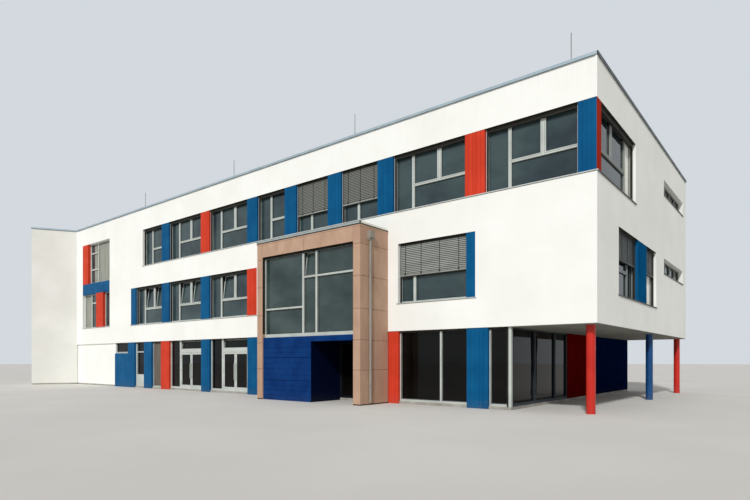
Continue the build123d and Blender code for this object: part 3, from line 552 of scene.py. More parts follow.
def roof_gravel():
    """Round gravel on the flat roof: pebbles of mixed greys and buffs, with dark gaps."""
    material, tree, shader, place = new_material("roof_gravel")
    # the real pebbles are 16 to 32 mm; they are drawn 50 mm across
    distance, stones = add(tree, "TexVoronoi", {"Vector": place, "Scale": 1 / (50 * MM)}).node.outputs[:2]
    hue = add(tree, "SeparateColor", [stones], "Red")
    colour = add(tree, "ValToRGB", [hue], tones=("#817C72", "#BDB6A8"), at=(0.1, 0.9))
    gap = add(tree, "MapRange", [distance, 0.35, 0.6])
    crown = add(tree, "Math", [1.0, distance], operation="SUBTRACT")
    supply(tree, shader, {
        "Base Color": add(tree, "Mix", {0: gap, 6: colour, 7: "#4C4842"}, 2, data_type="RGBA"),
        "Roughness": 0.9,
        "Normal": add(tree, "Bump", {"Height": crown, "Strength": 0.8, "Distance": 14 * MM})})
    return material


def slat_lacquer(name, dark, light, colours_by_zone=()):
    """Stove lacquer on rolled aluminium slats: even, silky, a little dusty in drawn-out patches."""
    material, tree, shader, place = new_material(name)
    clouds = mottling(tree, place, 90 * MM, 2.0, (6, 6, 1))
    colour = add(tree, "ValToRGB", [clouds], tones=(dark, light))
    supply(tree, shader, {
        "Base Color": coloured_by_zone(tree, place, colour, colours_by_zone), "Specular IOR Level": 0.3,
        "Roughness": add(tree, "MapRange", [clouds, 0.3, 0.7, 0.5, 0.38])})
    return material


def woven_screen(name, dark, light):
    """Tightly woven screen cloth behind the panes: dead matt grey, with faint upright folds."""
    material, tree, shader, place = new_material(name)
    folds = mottling(tree, place, 70 * MM, 2.0, (1, 1, 12))
    # the real threads lie 0.5 mm apart; the weave is drawn 6 mm coarse
    weave = mottling(tree, place, 6 * MM, 1.0)
    supply(tree, shader, {
        "Base Color": add(tree, "ValToRGB", [folds], tones=(dark, light)),
        "Roughness": 0.9, "Specular IOR Level": 0.1,
        "Normal": add(tree, "Bump", {"Height": weave, "Strength": 0.3, "Distance": MM})})
    return material


def bitumen_membrane():
    """Welded bitumen membrane with slate chips: dark grey, dead matt, finely speckled."""
    material, tree, shader, place = new_material("slated_bitumen_membrane")
    # the real slate chips are 1 to 2 mm; they are drawn 8 mm across
    chips = mottling(tree, place, 8 * MM, 2.0)
    supply(tree, shader, {
        "Base Color": add(tree, "ValToRGB", [chips], tones=("#3E4142", "#5E6263")), "Roughness": 0.95,
        "Normal": add(tree, "Bump", {"Height": chips, "Strength": 0.6, "Distance": 1.5 * MM})})
    return material


# What the CAD windows look like: their frames, lights and blinds
FRAME_NODES = ["top_floor_frames", "first_floor_frames", "ground_floor_frames", "portal_frame"]
LEAVES = ["right_door_right_leaf", "right_door_left_leaf", "left_door_right_leaf", "left_door_left_leaf",
          "entrance_door_leaf"]
GLASS_LAP = 12 * MM
FRAME_DEPTH = 30 * MM
RAISED_BLIND = 70 * MM
HEAD_RAIL = 30 * MM
BOTTOM_RAIL = 20 * MM

window_frames = [island for name in FRAME_NODES for island in islands(name)]
panes = [pane for island in window_frames for pane in panes_of(island)]
leaf_panes = {name: [pane for island in islands(name, [sides["front"]]) for pane in panes_of(island)]
              for name in LEAVES}
blind_parts = islands("blinds")
raised_blinds, head_rails, bottom_rails = [
    [part for part in blind_parts if abs(part.high.y - part.low.y - height) < MM]
    for height in (RAISED_BLIND, HEAD_RAIL, BOTTOM_RAIL)]


def narrow_door_lights():
    """The fixed lights beside the doors: their glass laps the bars around them by a set width."""
    known = [pane.rect for pane in panes if pane.node == "ground_floor_frames"]
    for sheet in islands("ground_floor_glass", [sides["front"]]):
        middle = (sheet.low.x + sheet.high.x) / 2
        if sheet.side is sides["front"] and not any(
                rect[0] - GLASS_LAP < middle < rect[1] + GLASS_LAP for rect in known):
            rect = outline(sheet, GLASS_LAP, -GLASS_LAP, GLASS_LAP, -GLASS_LAP)
            yield Pane("ground_floor_glass", sheet.side, rect, sheet.high.z + FRAME_DEPTH, sheet)


panes += list(narrow_door_lights())

# Zones in which a coat is given another colour, each between two corners. Most of these colours are painted
# light: painted shade on the right side, at the entrance door and in its recess, on the right side's coping
# and in the hall's side glazing, and painted sunlight on the cap's right side. The top storey's blinds are
# only given a darker grey
ABOVE = 9
TOP_STOREY = 3.6
entrance_zone = ((box_high.x - 10 * MM, front_y, 0), (deck_high.x + 10 * MM, front_y + 0.2, box_high.z))
recess_zone = ((box_high.x - MM, box_low.y + 2 * MM, -1), (deck_high.x, front_y + 0.2, box_high.z + MM))
shaded_coping_zone = ((right_x + MM, coping_low.y - 1, coping_low.z - 0.1),
                      (coping_high.x + 0.1, coping_high.y + 1, coping_high.z - 2 * MM))
right_panel_zone = ((right_x - 10 * MM, front_y + 5 * MM, 0), (right_x + 0.1, back_y, ABOVE))
sunlit_cap_zone = ((cap_high.x - 5 * MM, cap_low.y + 5 * MM, 0), (cap_high.x + 0.1, cap_high.y, ABOVE))
right_side_zone = ((right_x - 0.2, front_y + 20 * MM, 0), (right_x + 0.1, back_y, ABOVE))
top_blinds_zone = ((-right_x, front_y - 0.1, TOP_STOREY), (right_x - 0.2, front_y + 0.2, ABOVE))
side_pair = [window for window in window_frames if window.side is sides["right"]
             and window.node == "first_floor_frames" and window.high.y - window.low.y > 1]
side_pair_zone = ((right_x - 0.2, back_y - max(window.high.x for window in side_pair), 0),
                  (right_x, back_y - min(window.low.x for window in side_pair), TOP_STOREY))
side_glazing_zone = ((hall_wall_x - 0.06, front_y + 0.12, 0), (hall_wall_x + 0.02, back_y, soffit_high.z))

white_render = scraped_render("white_scraped_render", "#F3F4EF", "#F9FAF6")
wing_render = scraped_render("creamy_scraped_render", "#E3E3DC", "#EBEBE5")
# The frames' other colours are painted shade: grey on the right side and darker on its pair of wide windows,
# near black at the entrance door in the portal's recess, dark blue-grey in the hall's side glazing under the
# overhang
window_metal = coated_metal("pale_grey_powder_coat", "#BAC0BB", "#C7CEC8", 0.4, colours_by_zone=[
    (right_side_zone, "#90958F"), (side_pair_zone, "#7C8384"), (entrance_zone, "#0C1018"),
    (side_glazing_zone, "#1B2733")])
# On the right side the coping's dark coat is painted shade
coping_metal = anodised_aluminium("anodised_coping", "#A0B1BA", "#B2C2CA", colours_by_zone=[
    (shaded_coping_zone, "#3F4341")])
# On its right side the cap's pale cream coat is painted sunlight
cap_metal = anodised_aluminium("anodised_cap", "#98A2A2", "#A9B2B1", 0.5, 0.15, [
    (sunlit_cap_zone, "#E6E4DA")])
# The drip edge is darker than the coping: painted shade under the coping's edge
drip_shade_metal = anodised_aluminium("anodised_drip_edge", "#56616A", "#626D75")
# On the right side the sills' dark coat is painted shade
sill_metal = anodised_aluminium("anodised_sill", "#C3C8C5", "#D2D6D3", 0.5, 0.2, [
    (right_side_zone, "#4A4C4B")])
# On the right side the guide rails' dark coat is painted shade
rail_metal = anodised_aluminium("anodised_guide_rail", "#B4B4B7", "#C2C2C5", 0.5, 0.2, [
    (right_side_zone, "#4A4C4E")])
rod_metal = anodised_aluminium("drawn_aluminium_rod", "#7E8384", "#8E9394", 0.45)
pipe_coat = coated_metal("stone_grey_powder_coat", "#8F8A80", "#9C978D", 0.5, 0.15)
# Dark bronze on the blinds' clips; the same dark coat is painted shade in the portal's reveals and gaps, on
# the blinds' rails and slots, over the window jambs and heads and under the sills
dark_trim_and_shade = coated_metal("dark_bronze_coat", "#25241F", "#32312B", 0.55, 0.15)
# Black: painted shade of the rooms behind the open sashes
painted_room_shade = coated_metal("black_lining_coat", "#0E1012", "#16191B", 0.8, 0.0)
gasket = sealing_rubber()
# On the right side the glass is darker still: painted shade
upper_glass = float_glass("sun_coated_glass", "#25343A", "#3F5153", 0.08, colours_by_zone=[
    (right_side_zone, "#16242A")])
portal_pane_glass = float_glass("grey_sun_coated_glass", "#263635", "#425250", 0.08)
# The clear glass is near black: painted shade of the hall behind it
ground_glass = float_glass("clear_float_glass", "#060606", "#100F0D", 0.14, 0.1)
blue_coat = coated_metal("blue_coil_coat", "#085383", "#0E5D8D", 0.45, 0.06, 0.2, deeper="#06466F")
# The blue coat without its sheen, on the right side's boards: painted shade
side_blue_coat = coated_metal("matt_blue_coil_coat", "#0A5080", "#105A8A", 0.6, 0.0, deeper="#08446C")
# On the right side the red coat's darker colour is painted shade
red_coat = coated_metal("red_coil_coat", "#CC4029", "#D84530", 0.45, 0.06, 0.2, [
    (right_panel_zone, "#A32C1D")], "#B8341F")
# A darker copy of the red coat without its sheen, on the right side's boards: painted shade
side_red_coat = coated_metal("matt_red_coil_coat", "#A53226", "#AF382B", 0.6, 0.0, deeper="#962A1D")
blue_groove = coated_metal("blue_groove_coat", "#04395E", "#064166", 0.6, 0.03)
red_groove = coated_metal("red_groove_coat", "#98281A", "#A42E1E", 0.6, 0.03)
navy_groove = coated_metal("navy_groove_coat", "#041334", "#05163A", 0.6, 0.0)
column_red = coated_metal("red_column_paint", "#BC2318", "#CB2C1E", 0.35, 0.35, 0.3)
column_blue = coated_metal("blue_column_paint", "#083F72", "#0C4A82", 0.35, 0.35, 0.3)
tan_board = fibre_cement()
# In the portal's recess the boards' near-black colour is painted shade
navy_paint = painted_board("navy_board_paint", "#0A2F66", "#103973", colours_by_zone=[
    (recess_zone, "#050F2A")])
# Under the overhang the boards' deep navy and dark red are partly their own colours and partly painted shade
undercroft_navy_paint = painted_board("deep_navy_board_paint", "#041237", "#06163D", 0.0)
shaded_red_paint = painted_board("dark_red_board_paint", "#560605", "#620806", 0.0)
soffit_paint = smooth_plaster("grey_soffit_paint", "#73736A", "#7F7F75")
floor_concrete = floated_concrete()
gravel = roof_gravel()
membrane = bitumen_membrane()
# On the right side the slats' dark colour is painted shade; the top storey's blinds are only a darker grey
slats = slat_lacquer("lacquered_slats", "#939894", "#A2A7A3", [
    (top_blinds_zone, "#7C7E78"), (right_side_zone, "#414442")])
# Painted shade between the slats of a let-down blind, darker still on the right side
slat_shade = slat_lacquer("lacquered_slat_gaps", "#4A4B47", "#545550", [(right_side_zone, "#2E3030")])
# The edges of drawn-up slats are near black: painted shade under the window heads
stack_shade_lacquer = slat_lacquer("lacquered_slat_edges", "#2C2B26", "#3A3933")
# On the right side the bottom rails' dark colour is painted shade
bottom_rail_lacquer = slat_lacquer("lacquered_bottom_rail", "#8A8C88", "#969894", [
    (right_side_zone, "#3F4140")])
tape_fabric = woven_screen("woven_ladder_tape", "#2A2B27", "#363731")
screen_cloth = woven_screen("grey_screen_cloth", "#8F9188", "#A0A298")
white_screen_cloth = woven_screen("white_screen_cloth", "#F1F1E8", "#FAFAF4")
shut_screen_cloth = woven_screen("brown_screen_cloth", "#655E57", "#736B63")

node_materials = {
    white_render: ["front_wall", "right_wall", "back_wall", "ground_front_wall", "ground_back_wall"],
    wing_render: ["wing_right_wall", "wing_front_wall", "wing_left_wall"],
    shaded_red_paint: ["undercroft_red_wall"], undercroft_navy_paint: ["undercroft_navy_wall"],
    navy_paint: ["navy_box", "portal_floor"], tan_board: ["portal_side_walls", "portal_roof"],
    cap_metal: ["portal_cap"], coping_metal: ["coping"], sill_metal: ["sills"],
    rod_metal: ["lightning_rods"], pipe_coat: ["rain_pipe"], blue_coat: ["blue_panels"],
    red_coat: ["red_panels"], column_red: ["red_columns"], column_blue: ["blue_column"],
    soffit_paint: ["undercroft_soffit"], gravel: ["roof_slab"], slats: ["blinds"],
    floor_concrete: ["ground_slab", "first_floor_slab", "second_floor_slab"],
    window_metal: [*FRAME_NODES, "door_posts", *LEAVES],
    upper_glass: ["top_floor_glass", "first_floor_glass"], portal_pane_glass: ["portal_glass"],
    ground_glass: ["ground_floor_glass"] + [leaf + "_glass" for leaf in LEAVES]}
for material, names in node_materials.items():
    for name in names:
        for material_slot in nodes[name].material_slots:
            material_slot.material = material

# Gaskets and glazing beads around every light
GASKET = 5 * MM
GASKET_ROUND = 2 * MM
GASKET_LIP = 3 * MM
BEAD = 14 * MM
BEAD_ROUND = 2 * MM
BEAD_SHOULDER, BEAD_RISE = 2.4 * MM, 4 * MM
LEAF_BEAD_SHOULDER, LEAF_BEAD_RISE = 2 * MM, 3 * MM
GASKET_LAPS = {"ground_floor_frames": 10 * MM, "ground_floor_glass": 10 * MM, "portal_frame": 8 * MM}
SASH_LINE = (24 * MM, 27 * MM)
SASH_HEIGHTS = (0.4, 0.75)
HEAD_REACH = 0.05


def glaze(pane, beads, gaskets, glass, lip, shoulder, rise):
    """A black gasket from the glass out to its lip, which on some windows laps over the bars, and a
    raised bead round the light."""
    lap = GASKET_LAPS.get(pane.node, 0.0)
    sunk, end = pane.face - SUNK, lap + BEAD
    if lap:
        gaskets.ring(pane.side, pane.rect, strip(-SUNK, lap, sunk, pane.face + GASKET_LIP))
    gaskets.ring(pane.side, pane.rect, [(SUNK, glass), (SUNK, lip), (GASKET_ROUND - GASKET, lip),
                                        (-GASKET, lip - GASKET_LIP), (-GASKET, glass)])
    beads.ring(pane.side, pane.rect, [(lap, sunk), (lap, pane.face + shoulder),
                                      (lap + BEAD_ROUND, pane.face + rise),
                                      (end - BEAD_ROUND, pane.face + rise),
                                      (end, pane.face + shoulder), (end, sunk)])


beads = Piece("glazing_beads", window_metal, "window_metal")
gaskets = Piece("glazing_gaskets", gasket, "window_metal")
for pane in panes:
    glass = pane.face - FRAME_DEPTH
    glaze(pane, beads, gaskets, glass, glass + 8 * MM, BEAD_SHOULDER, BEAD_RISE)
    # the dark joint between an opening sash and the fixed frame around it
    if pane.node in ("top_floor_frames", "first_floor_frames") and pane.side.name != "portal" \
            and pane.island.high.y - pane.rect[3] < HEAD_REACH and pane.side in sides.values() \
            and SASH_HEIGHTS[0] < pane.rect[3] - pane.rect[2] < SASH_HEIGHTS[1]:
        gaskets.ring(pane.side, pane.rect, strip(*SASH_LINE, pane.face - SUNK, pane.face + 0.6 * MM))

for leaf in LEAVES:
    body = leaf.removesuffix("_leaf")
    leaf_beads = Piece(leaf + "_beads", window_metal, "window_metal", body)
    leaf_gaskets = Piece(leaf + "_gaskets", gasket, "window_metal", body)
    for pane in leaf_panes[leaf]:
        glaze(pane, leaf_beads, leaf_gaskets, pane.face - 10 * MM, pane.face - 3 * MM,
              LEAF_BEAD_SHOULDER, LEAF_BEAD_RISE)

# Boards of the coloured panels, with a fine dark groove between them
BOARD = 85 * MM
BOARD_THICKNESS = 3 * MM
CHAMFER = MM
GROOVE = 4 * MM
GROOVE_TAPE = 0.6 * MM


def evenly(start, end, size):
    """Marks that share a length among equal boards of about one size, without its end."""
    count = max(1, round((end - start) / size))
    return [start + (end - start) * index / count for index in range(count)]


def spans(marks, joint, wide_marks=(), wide_joint=0.0):
    """The spans between marks, each short of its inner ends by half of the joint there."""
    halves = {mark: (wide_joint if mark in wide_marks else joint) / 2 for mark in marks[1:-1]}
    return [(start + halves.get(start, 0), end - halves.get(end, 0))
            for start, end in zip(marks, marks[1:])]


def upright_boards(node, name, material, side_material, groove, slot):
    boards, grooves = Piece(name, material, slot), Piece(name + "_grooves", groove, slot)
    side_boards = Piece(name + "_right_side", side_material, slot)
    rng = random.Random(node)
    for panel in islands(node):
        face = panel.high.z
        for u0, u1, v0, v1 in face_rects(panel):
            for start, end in spans(evenly(u0, u1, BOARD) + [u1], GROOVE):
                # the boards on the right side take the copies of the coats that are painted shade
                piece = side_boards if panel.side is sides["right"] else boards
                piece.plate(panel.side, (start, end, v0, v1), face - SUNK, face + BOARD_THICKNESS,
                            CHAMFER, rng.random())
                if start > u0:
                    grooves.plate(panel.side, (start - GROOVE, start, v0 + MM, v1 - MM), face - SUNK,
                                  face + GROOVE_TAPE)


upright_boards("blue_panels", "blue_panel_boards", blue_coat, side_blue_coat, blue_groove, "blue_panel")
upright_boards("red_panels", "red_panel_boards", red_coat, side_red_coat, red_groove, "red_panel")

# Level boards of the dark blue box, in three fields with an open joint between them, and of the
# wall under the overhang
LEVEL_BOARD = 120 * MM
FIELD_JOINT = 9 * MM
BOX_JOINTS = [0.45, 0.955]
level_tape = Piece("navy_board_grooves", navy_groove, "navy_board")
box_boards = Piece("navy_box_boards", navy_paint, "navy_board")
wall_boards = Piece("undercroft_level_boards", undercroft_navy_paint, "navy_board")


def lay_level_boards(boards, side, u0, u1, fields, face=0.0):
    rng = random.Random(side.name)
    level_tape.plate(side, (u0 + MM, u1 - MM, fields[0] + MM, fields[-1] - MM), face - SUNK,
                     face + GROOVE_TAPE)
    marks = [mark for v0, v1 in zip(fields, fields[1:]) for mark in evenly(v0, v1, LEVEL_BOARD)]
    for low, high in spans(marks + [fields[-1]], GROOVE, fields, FIELD_JOINT):
        boards.plate(side, (u0, u1, low, high), face - SUNK, face + BOARD_THICKNESS, CHAMFER, rng.random())


for side in sides_of_box("box", box_low, box_high)[:2]:
    lay_level_boards(box_boards, side, 0, side.length, [box_low.z, *BOX_JOINTS, box_high.z])
for wall in islands("undercroft_navy_wall", [sides["undercroft"]]):
    lay_level_boards(wall_boards, wall.side, wall.low.x, wall.high.x, [wall.low.y, wall.high.y], wall.high.z)

# Fibre-cement sheets of the portal, each with an open joint around it
SHEET = 5 * MM
SHEET_BACKING = MM
JOINT = 7 * MM
SHEET_LEVELS = [0.022, 0.70, 1.30, 1.925, 2.575, 3.21]
LINTEL_JOINT = 5.825
LINTEL_SHADES = 0.1
sheets = Piece("portal_sheets", tan_board, "brown_board")
sheet_backing = Piece("portal_joint_tape", gasket, "brown_board")
sheet_rng = random.Random("portal")


def clad(side, u_marks, v_marks, shades=1.0):
    """Sheets between the marks, over one dark backing that shows in their joints."""
    sheet_backing.plate(side, (u_marks[0] + MM, u_marks[-1] - MM, v_marks[0], v_marks[-1] - MM), -SUNK,
                        SHEET_BACKING)
    for u0, u1 in spans(u_marks, JOINT):
        for v0, v1 in spans(v_marks, JOINT):
            sheets.plate(side, (u0, u1, v0, v1), SHEET_BACKING, SHEET, CHAMFER, sheet_rng.random() * shades)


portal_right, portal_left = sides_of_box("portal", portal_low, portal_high)[1:]
pillar_levels = SHEET_LEVELS + [portal_high.z]
portal_start, portal_end = right_x - portal_high.x, right_x - portal_low.x
inner_start, inner_end = right_x - deck_high.x, right_x - deck_low.x
clad(sides["portal"], [portal_start, inner_start - JOINT / 2], pillar_levels)
clad(sides["portal"], [inner_end + JOINT / 2, portal_end], pillar_levels)
clad(sides["portal"], [inner_start + JOINT / 2, LINTEL_JOINT, inner_end - JOINT / 2],
     [portal_low.z, portal_high.z], LINTEL_SHADES)
clad(portal_right, [0, portal_right.length], pillar_levels)
clad(portal_left, [0, portal_left.length], pillar_levels)

# Painted shade: dark plates between the portal's sheets and its glazing, at the end of the entrance recess,
# at the feet of the pillars, over the glazing and under the flashing of the cap
SHADE_LINING = 1.5 * MM
RECESS_END = (35 * MM, 0.05, 3.5 * MM)
CAP_FLASHING = (46 * MM, 86 * MM)
CAP_SHADE = 24 * MM
CAP_EDGE = 18 * MM
FLASHING_LIP = 2 * MM
portal_window = next(window for window in window_frames if window.node == "portal_frame"
                     and window.side is sides["portal"])
portal_lights = [pane for pane in panes if pane.island is portal_window]
glazing_face = max(pane.face for pane in portal_lights)
glazing_top = max(pane.rect[3] for pane in portal_lights)
reveal = -glazing_face
shade_lining = Piece("portal_gap_lining", dark_trim_and_shade, "brown_board")
for side, rect, lining in (
        (Side("reveal_left", (deck_low.x, portal_low.y + reveal, 0), FORWARDS, RIGHTWARDS),
         (0, reveal - MM, deck_high.z, portal_low.z), SHADE_LINING),
        (Side("reveal_right", (deck_high.x, portal_low.y, 0), BACKWARDS, LEFTWARDS),
         (MM, reveal, deck_high.z, portal_low.z), SHADE_LINING),
        (Side("lintel", (deck_high.x, portal_low.y + reveal, portal_low.z), LEFTWARDS, DOWNWARDS),
         (0, inner_end - inner_start, 0, reveal - MM), SHADE_LINING),
        (Side("recess_end", (box_high.x, front_y + 0.08, 0), FORWARDS, RIGHTWARDS),
         (0, RECESS_END[0], RECESS_END[1], box_high.z), RECESS_END[2]),
        *((side, (start, end, 0, SHEET_LEVELS[0] - 2 * MM), SHEET_BACKING) for side, start, end in (
            (sides["portal"], portal_start, inner_start), (sides["portal"], inner_end, portal_end),
            (portal_right, 0, portal_right.length), (portal_left, 0, portal_left.length)))):
    shade_lining.plate(side, rect, -SUNK, lining)
shade_lining.plate(sides["portal"], (portal_window.low.x, portal_window.high.x, glazing_top - MM,
                                   portal_window.high.y), glazing_face - SUNK, glazing_face + BEAD_RISE + MM)
cap_flashing = Piece("portal_cap_flashing", cap_metal, "grey_metal")
cap_edging = Piece("portal_cap_edging", tan_board, "brown_board")
flashing_foot = cap_low.z + CAP_FLASHING[0]
for side in sides_of_box("cap", cap_low, cap_high):
    cap_flashing.plate(side, (-FLASHING_LIP, side.length + FLASHING_LIP, flashing_foot,
                              cap_low.z + CAP_FLASHING[1]), -CAP_EDGE, FLASHING_LIP, CHAMFER)
    shade_lining.plate(side, (0, side.length, flashing_foot - CAP_SHADE, flashing_foot), -CAP_EDGE, MM)
    cap_edging.plate(side, (-MM, side.length + MM, cap_low.z - MM, flashing_foot - CAP_SHADE), -MM, MM, shade=0.05)

# Boards of the ceiling under the overhang
SOFFIT_BOARD = (0.75, 1.25)
SOFFIT_JOINT = 5 * MM
soffit_boards = Piece("soffit_boards", soffit_paint, "soffit_board")
across_marks, along_marks = [evenly(0, size, board) + [size] for size, board in zip(
    (soffit_high.x - soffit_low.x, soffit_high.y - soffit_low.y), SOFFIT_BOARD)]
for u0, u1 in zip(across_marks, across_marks[1:]):
    for v0, v1 in zip(along_marks, along_marks[1:]):
        soffit_boards.plate(soffit, (u0 + SOFFIT_JOINT / 2, u1 - SOFFIT_JOINT / 2, v0 + SOFFIT_JOINT / 2,
                                     v1 - SOFFIT_JOINT / 2), -SUNK, 2 * MM, CHAMFER)

# Outside blinds: slat edges of those drawn up, and the rails, tapes and clips of those let down. Painted
# shade darkens the drawn-up blinds and the head rails, lies on a backing between the slats, and in strips
# over and under each bottom rail
STACK_PITCH = 7 * MM
STACK_SHARE = 0.6
TAPE_WIDTH = 11 * MM
TAPE_SHARES = [(0.7, (0.15, 0.85)), (1.3, (0.15, 0.5, 0.88)), (math.inf, (0.08, 0.33, 0.61, 0.89))]
SLAT_REACH = 9 * MM
CLIP = (38 * MM, 30 * MM)
CLIP_RISE = 5 * MM
COVER = 32 * MM
RAIL_TOP_SHADE = 7 * MM
RAIL_SHADOW = 16 * MM
stacks = Piece("raised_slat_stacks", stack_shade_lacquer, "blind_metal")
rails = Piece("blind_head_rails", dark_trim_and_shade, "blind_metal")
rail_covers = Piece("bottom_rail_covers", bottom_rail_lacquer, "blind_metal")
curtain_shade = Piece("slat_curtain_backs", slat_shade, "blind_metal")
tapes = Piece("ladder_tapes", tape_fabric, "blind_metal")
clips = Piece("bottom_rail_clips", dark_trim_and_shade, "blind_metal")
for blind in raised_blinds:
    u0, u1, low, high = outline(blind)
    face = blind.high.z
    rails.cover(blind, 0.6 * MM)
    rails.plate(blind.side, (u0, u1, low - 3 * MM, low + 4 * MM), blind.low.z + MM, face + 4 * MM, CHAMFER)
    for index in range(int(RAISED_BLIND / STACK_PITCH)):
        foot = low + STACK_PITCH * index
        stacks.plate(blind.side, (u0, u1, foot, foot + STACK_PITCH * STACK_SHARE), face - SUNK,
                     face + 3 * MM, CHAMFER)
for rail in head_rails:
    rails.plate(rail.side, outline(rail, v0=-MM), rail.low.z + MM, rail.high.z + 1.5 * MM, CHAMFER)
    foot = min((bottom for bottom in bottom_rails
                if bottom.side is rail.side and abs(bottom.low.x - rail.low.x) < MM
                and bottom.high.y < rail.low.y), key=lambda bottom: rail.low.y - bottom.high.y)
    middle = (rail.low.z + rail.high.z) / 2
    width = rail.high.x - rail.low.x
    cover_top = foot.low.y + COVER
    for share in next(shares for widest, shares in TAPE_SHARES if width < widest):
        u = rail.high.x - width * share
        tapes.plate(rail.side, (u - TAPE_WIDTH / 2, u + TAPE_WIDTH / 2, foot.high.y, rail.low.y),
                    middle + SLAT_REACH - MM, middle + SLAT_REACH + 2 * MM)
        clips.plate(rail.side, (u - CLIP[0] / 2, u + CLIP[0] / 2, cover_top - CLIP[1] / 2,
                                cover_top + CLIP[1] / 2), foot.low.z, foot.high.z + CLIP_RISE, 2 * CHAMFER)
    # a dark sheet behind the slats: painted shade between them
    curtain_shade.plate(rail.side, (rail.low.x + MM, rail.high.x - MM, foot.high.y, rail.low.y),
                        middle - 3 * MM, middle + 2 * MM)
    # the bottom rail's pale cover, with painted shade over it and a painted shadow under it
    for piece, low, high, back, face, chamfer in (
            (rail_covers, foot.low.y - MM, cover_top, foot.high.z - SUNK, foot.high.z + 2 * MM, CHAMFER),
            (rails, foot.low.y - RAIL_SHADOW, foot.low.y - MM, foot.low.z, foot.high.z - 2 * MM, 0.0),
            (rails, cover_top, cover_top + RAIL_TOP_SHADE, foot.high.z - SUNK, foot.high.z + MM, 0.0)):
        piece.plate(rail.side, (foot.low.x, foot.high.x, low, high), back, face, chamfer)

# Guide rails of the blinds: a grey cover on their fronts, dark brushes down their sides that are partly
# painted shade, and painted shade over the frame's jambs behind them
RAIL_EDGES = (8 * MM, 22 * MM)
RAIL_STANDS_OUT = 40 * MM
DARK_STRIP_RISE = BEAD_RISE + MM
HEAD_SHADE = (1.5 * MM, 4 * MM)
seals_and_shade = Piece("jamb_seals", dark_trim_and_shade, "window_metal")
rail_fronts = Piece("guide_rail_covers", rail_metal, "window_metal")
for window in window_frames:
    lights = [pane for pane in panes if pane.island is window]
    if not lights or window.high.z - lights[0].face < RAIL_STANDS_OUT:
        continue
    face, (u0, u1, low, high) = lights[0].face, outline(window)
    jambs = [(u0, min(pane.rect[0] for pane in lights) + MM), (max(pane.rect[1] for pane in lights) - MM, u1)]
    if window.node == "top_floor_frames":
        del jambs[0]
    # painted shade in the slot that the blind drops from, under the head
    seals_and_shade.plate(window.side, (u0, u1, high - HEAD_SHADE[0], high + SUNK), window.high.z - SUNK,
                -HEAD_SHADE[1])
    for start, end in jambs:
        seals_and_shade.plate(window.side, (start, end, low, high), face - SUNK, face + DARK_STRIP_RISE)
    for start, end in ((u0 + RAIL_EDGES[0], u0 + RAIL_EDGES[1]), (u1 - RAIL_EDGES[1], u1 - RAIL_EDGES[0])):
        rail_fronts.plate(window.side, (start, end, low, high), window.high.z - SUNK, window.high.z + MM)
        for u in (start, end):
            seals_and_shade.plate(window.side, (u - MM, u + MM, low, high), face, window.high.z - MM)

# The heads of the ground floor's front windows, darkened with painted shade under the wall's edge
DARK_HEAD = 36 * MM
for window in window_frames:
    if window.node == "ground_floor_frames" and window.side is sides["front"] \
            and window.high.y > soffit_low.z - MM:
        seals_and_shade.plate(window.side, (window.low.x, window.high.x, window.high.y - DARK_HEAD, window.high.y),
                    window.high.z - SUNK, window.high.z + DARK_STRIP_RISE)

# A grey cover round the white post at the corner of the hall, with a dark seal against the glass
POST_WIDTH = 0.1
POST_COVER = 1.5 * MM
POST_SEAL = 32 * MM
for post in islands("ground_front_wall", [sides["front"]]):
    if post.high.x - post.low.x < POST_WIDTH:
        post_cover = Piece("hall_post_cover", window_metal, "window_metal")
        post_cover.cover(post, POST_COVER, u0=-MM)
        post_right = Side("post_right", post.side.point(post.low.x, 0, post.low.z), FORWARDS, RIGHTWARDS)
        post_cover.plate(post_right, (0, post.high.z - post.low.z, post.low.y, post.high.y), -SUNK,
                         POST_COVER)
        seals_and_shade.plate(post.side, (post.high.x - POST_SEAL, post.high.x + MM, post.low.y, post.high.y),
                    post.low.z, post.high.z + 2 * MM)

# A black lining round each sash that stands open: painted shade of the room behind it
LINING_ROOM = 12 * MM
LINING = 1.5 * MM
LINING_BEHIND = 5 * MM
open_rooms = Piece("dark_behind_open_sashes", painted_room_shade, "window_glass")
open_sashes = [window for window in window_frames if window.side not in sides.values()]
for pane in panes:
    if pane.side not in sides.values():
        continue
    u0, u1, v0, v1 = pane.rect
    room = (u0 - LINING_ROOM, u1 + LINING_ROOM, v0 - LINING_ROOM, v1 + LINING_ROOM)
    for sash in open_sashes:
        low, high = box_around([pane.side.local(point) for normal, points in sash.faces for point in points])
        if sash.side.name == pane.side.name and low.x < (u0 + u1) / 2 < high.x \
                and low.y < (v0 + v1) / 2 < high.y:
            glass, deepest = pane.face - FRAME_DEPTH, low.z - LINING_BEHIND
            open_rooms.ring(pane.side, room, [(0, glass), (LINING, glass), (LINING, deepest), (0, deepest)])
            open_rooms.plate(pane.side, room, deepest - LINING, deepest)

# Screens: grey ones in the stair window, a brown one in the shut light left of the doors, and white
# ones in the farthest tall light of each upper storey in the right side. They lie on the glass,
# which would hide them from behind
SCREEN = (0.2 * MM, 1.5 * MM)
STAIR_SILL = 3.8
STAIR_START = 16.4
SCREENED_SHARE = 0.6
WHOLE_LIGHT = 1.2
SHUT_LIGHT = (13.2, 13.765)
TALL_LIGHT = 1.0
stair_screens = Piece("stair_window_screens", screen_cloth, "window_glass")
shut_screen = Piece("shut_light_screen", shut_screen_cloth, "window_glass")
side_screens = Piece("side_window_screens", white_screen_cloth, "window_glass")


def hang(screens, pane, share=1.0):
    """A screen over a share of a light."""
    u0, u1, v0, v1 = pane.rect
    glass = pane.face - FRAME_DEPTH
    screens.plate(pane.side, (u0, u0 + (u1 - u0) * share, v0, v1), glass + SCREEN[0], glass + SCREEN[1])


def lights_in(side, node):
    return [pane for pane in panes if pane.side is sides[side] and pane.node == node]


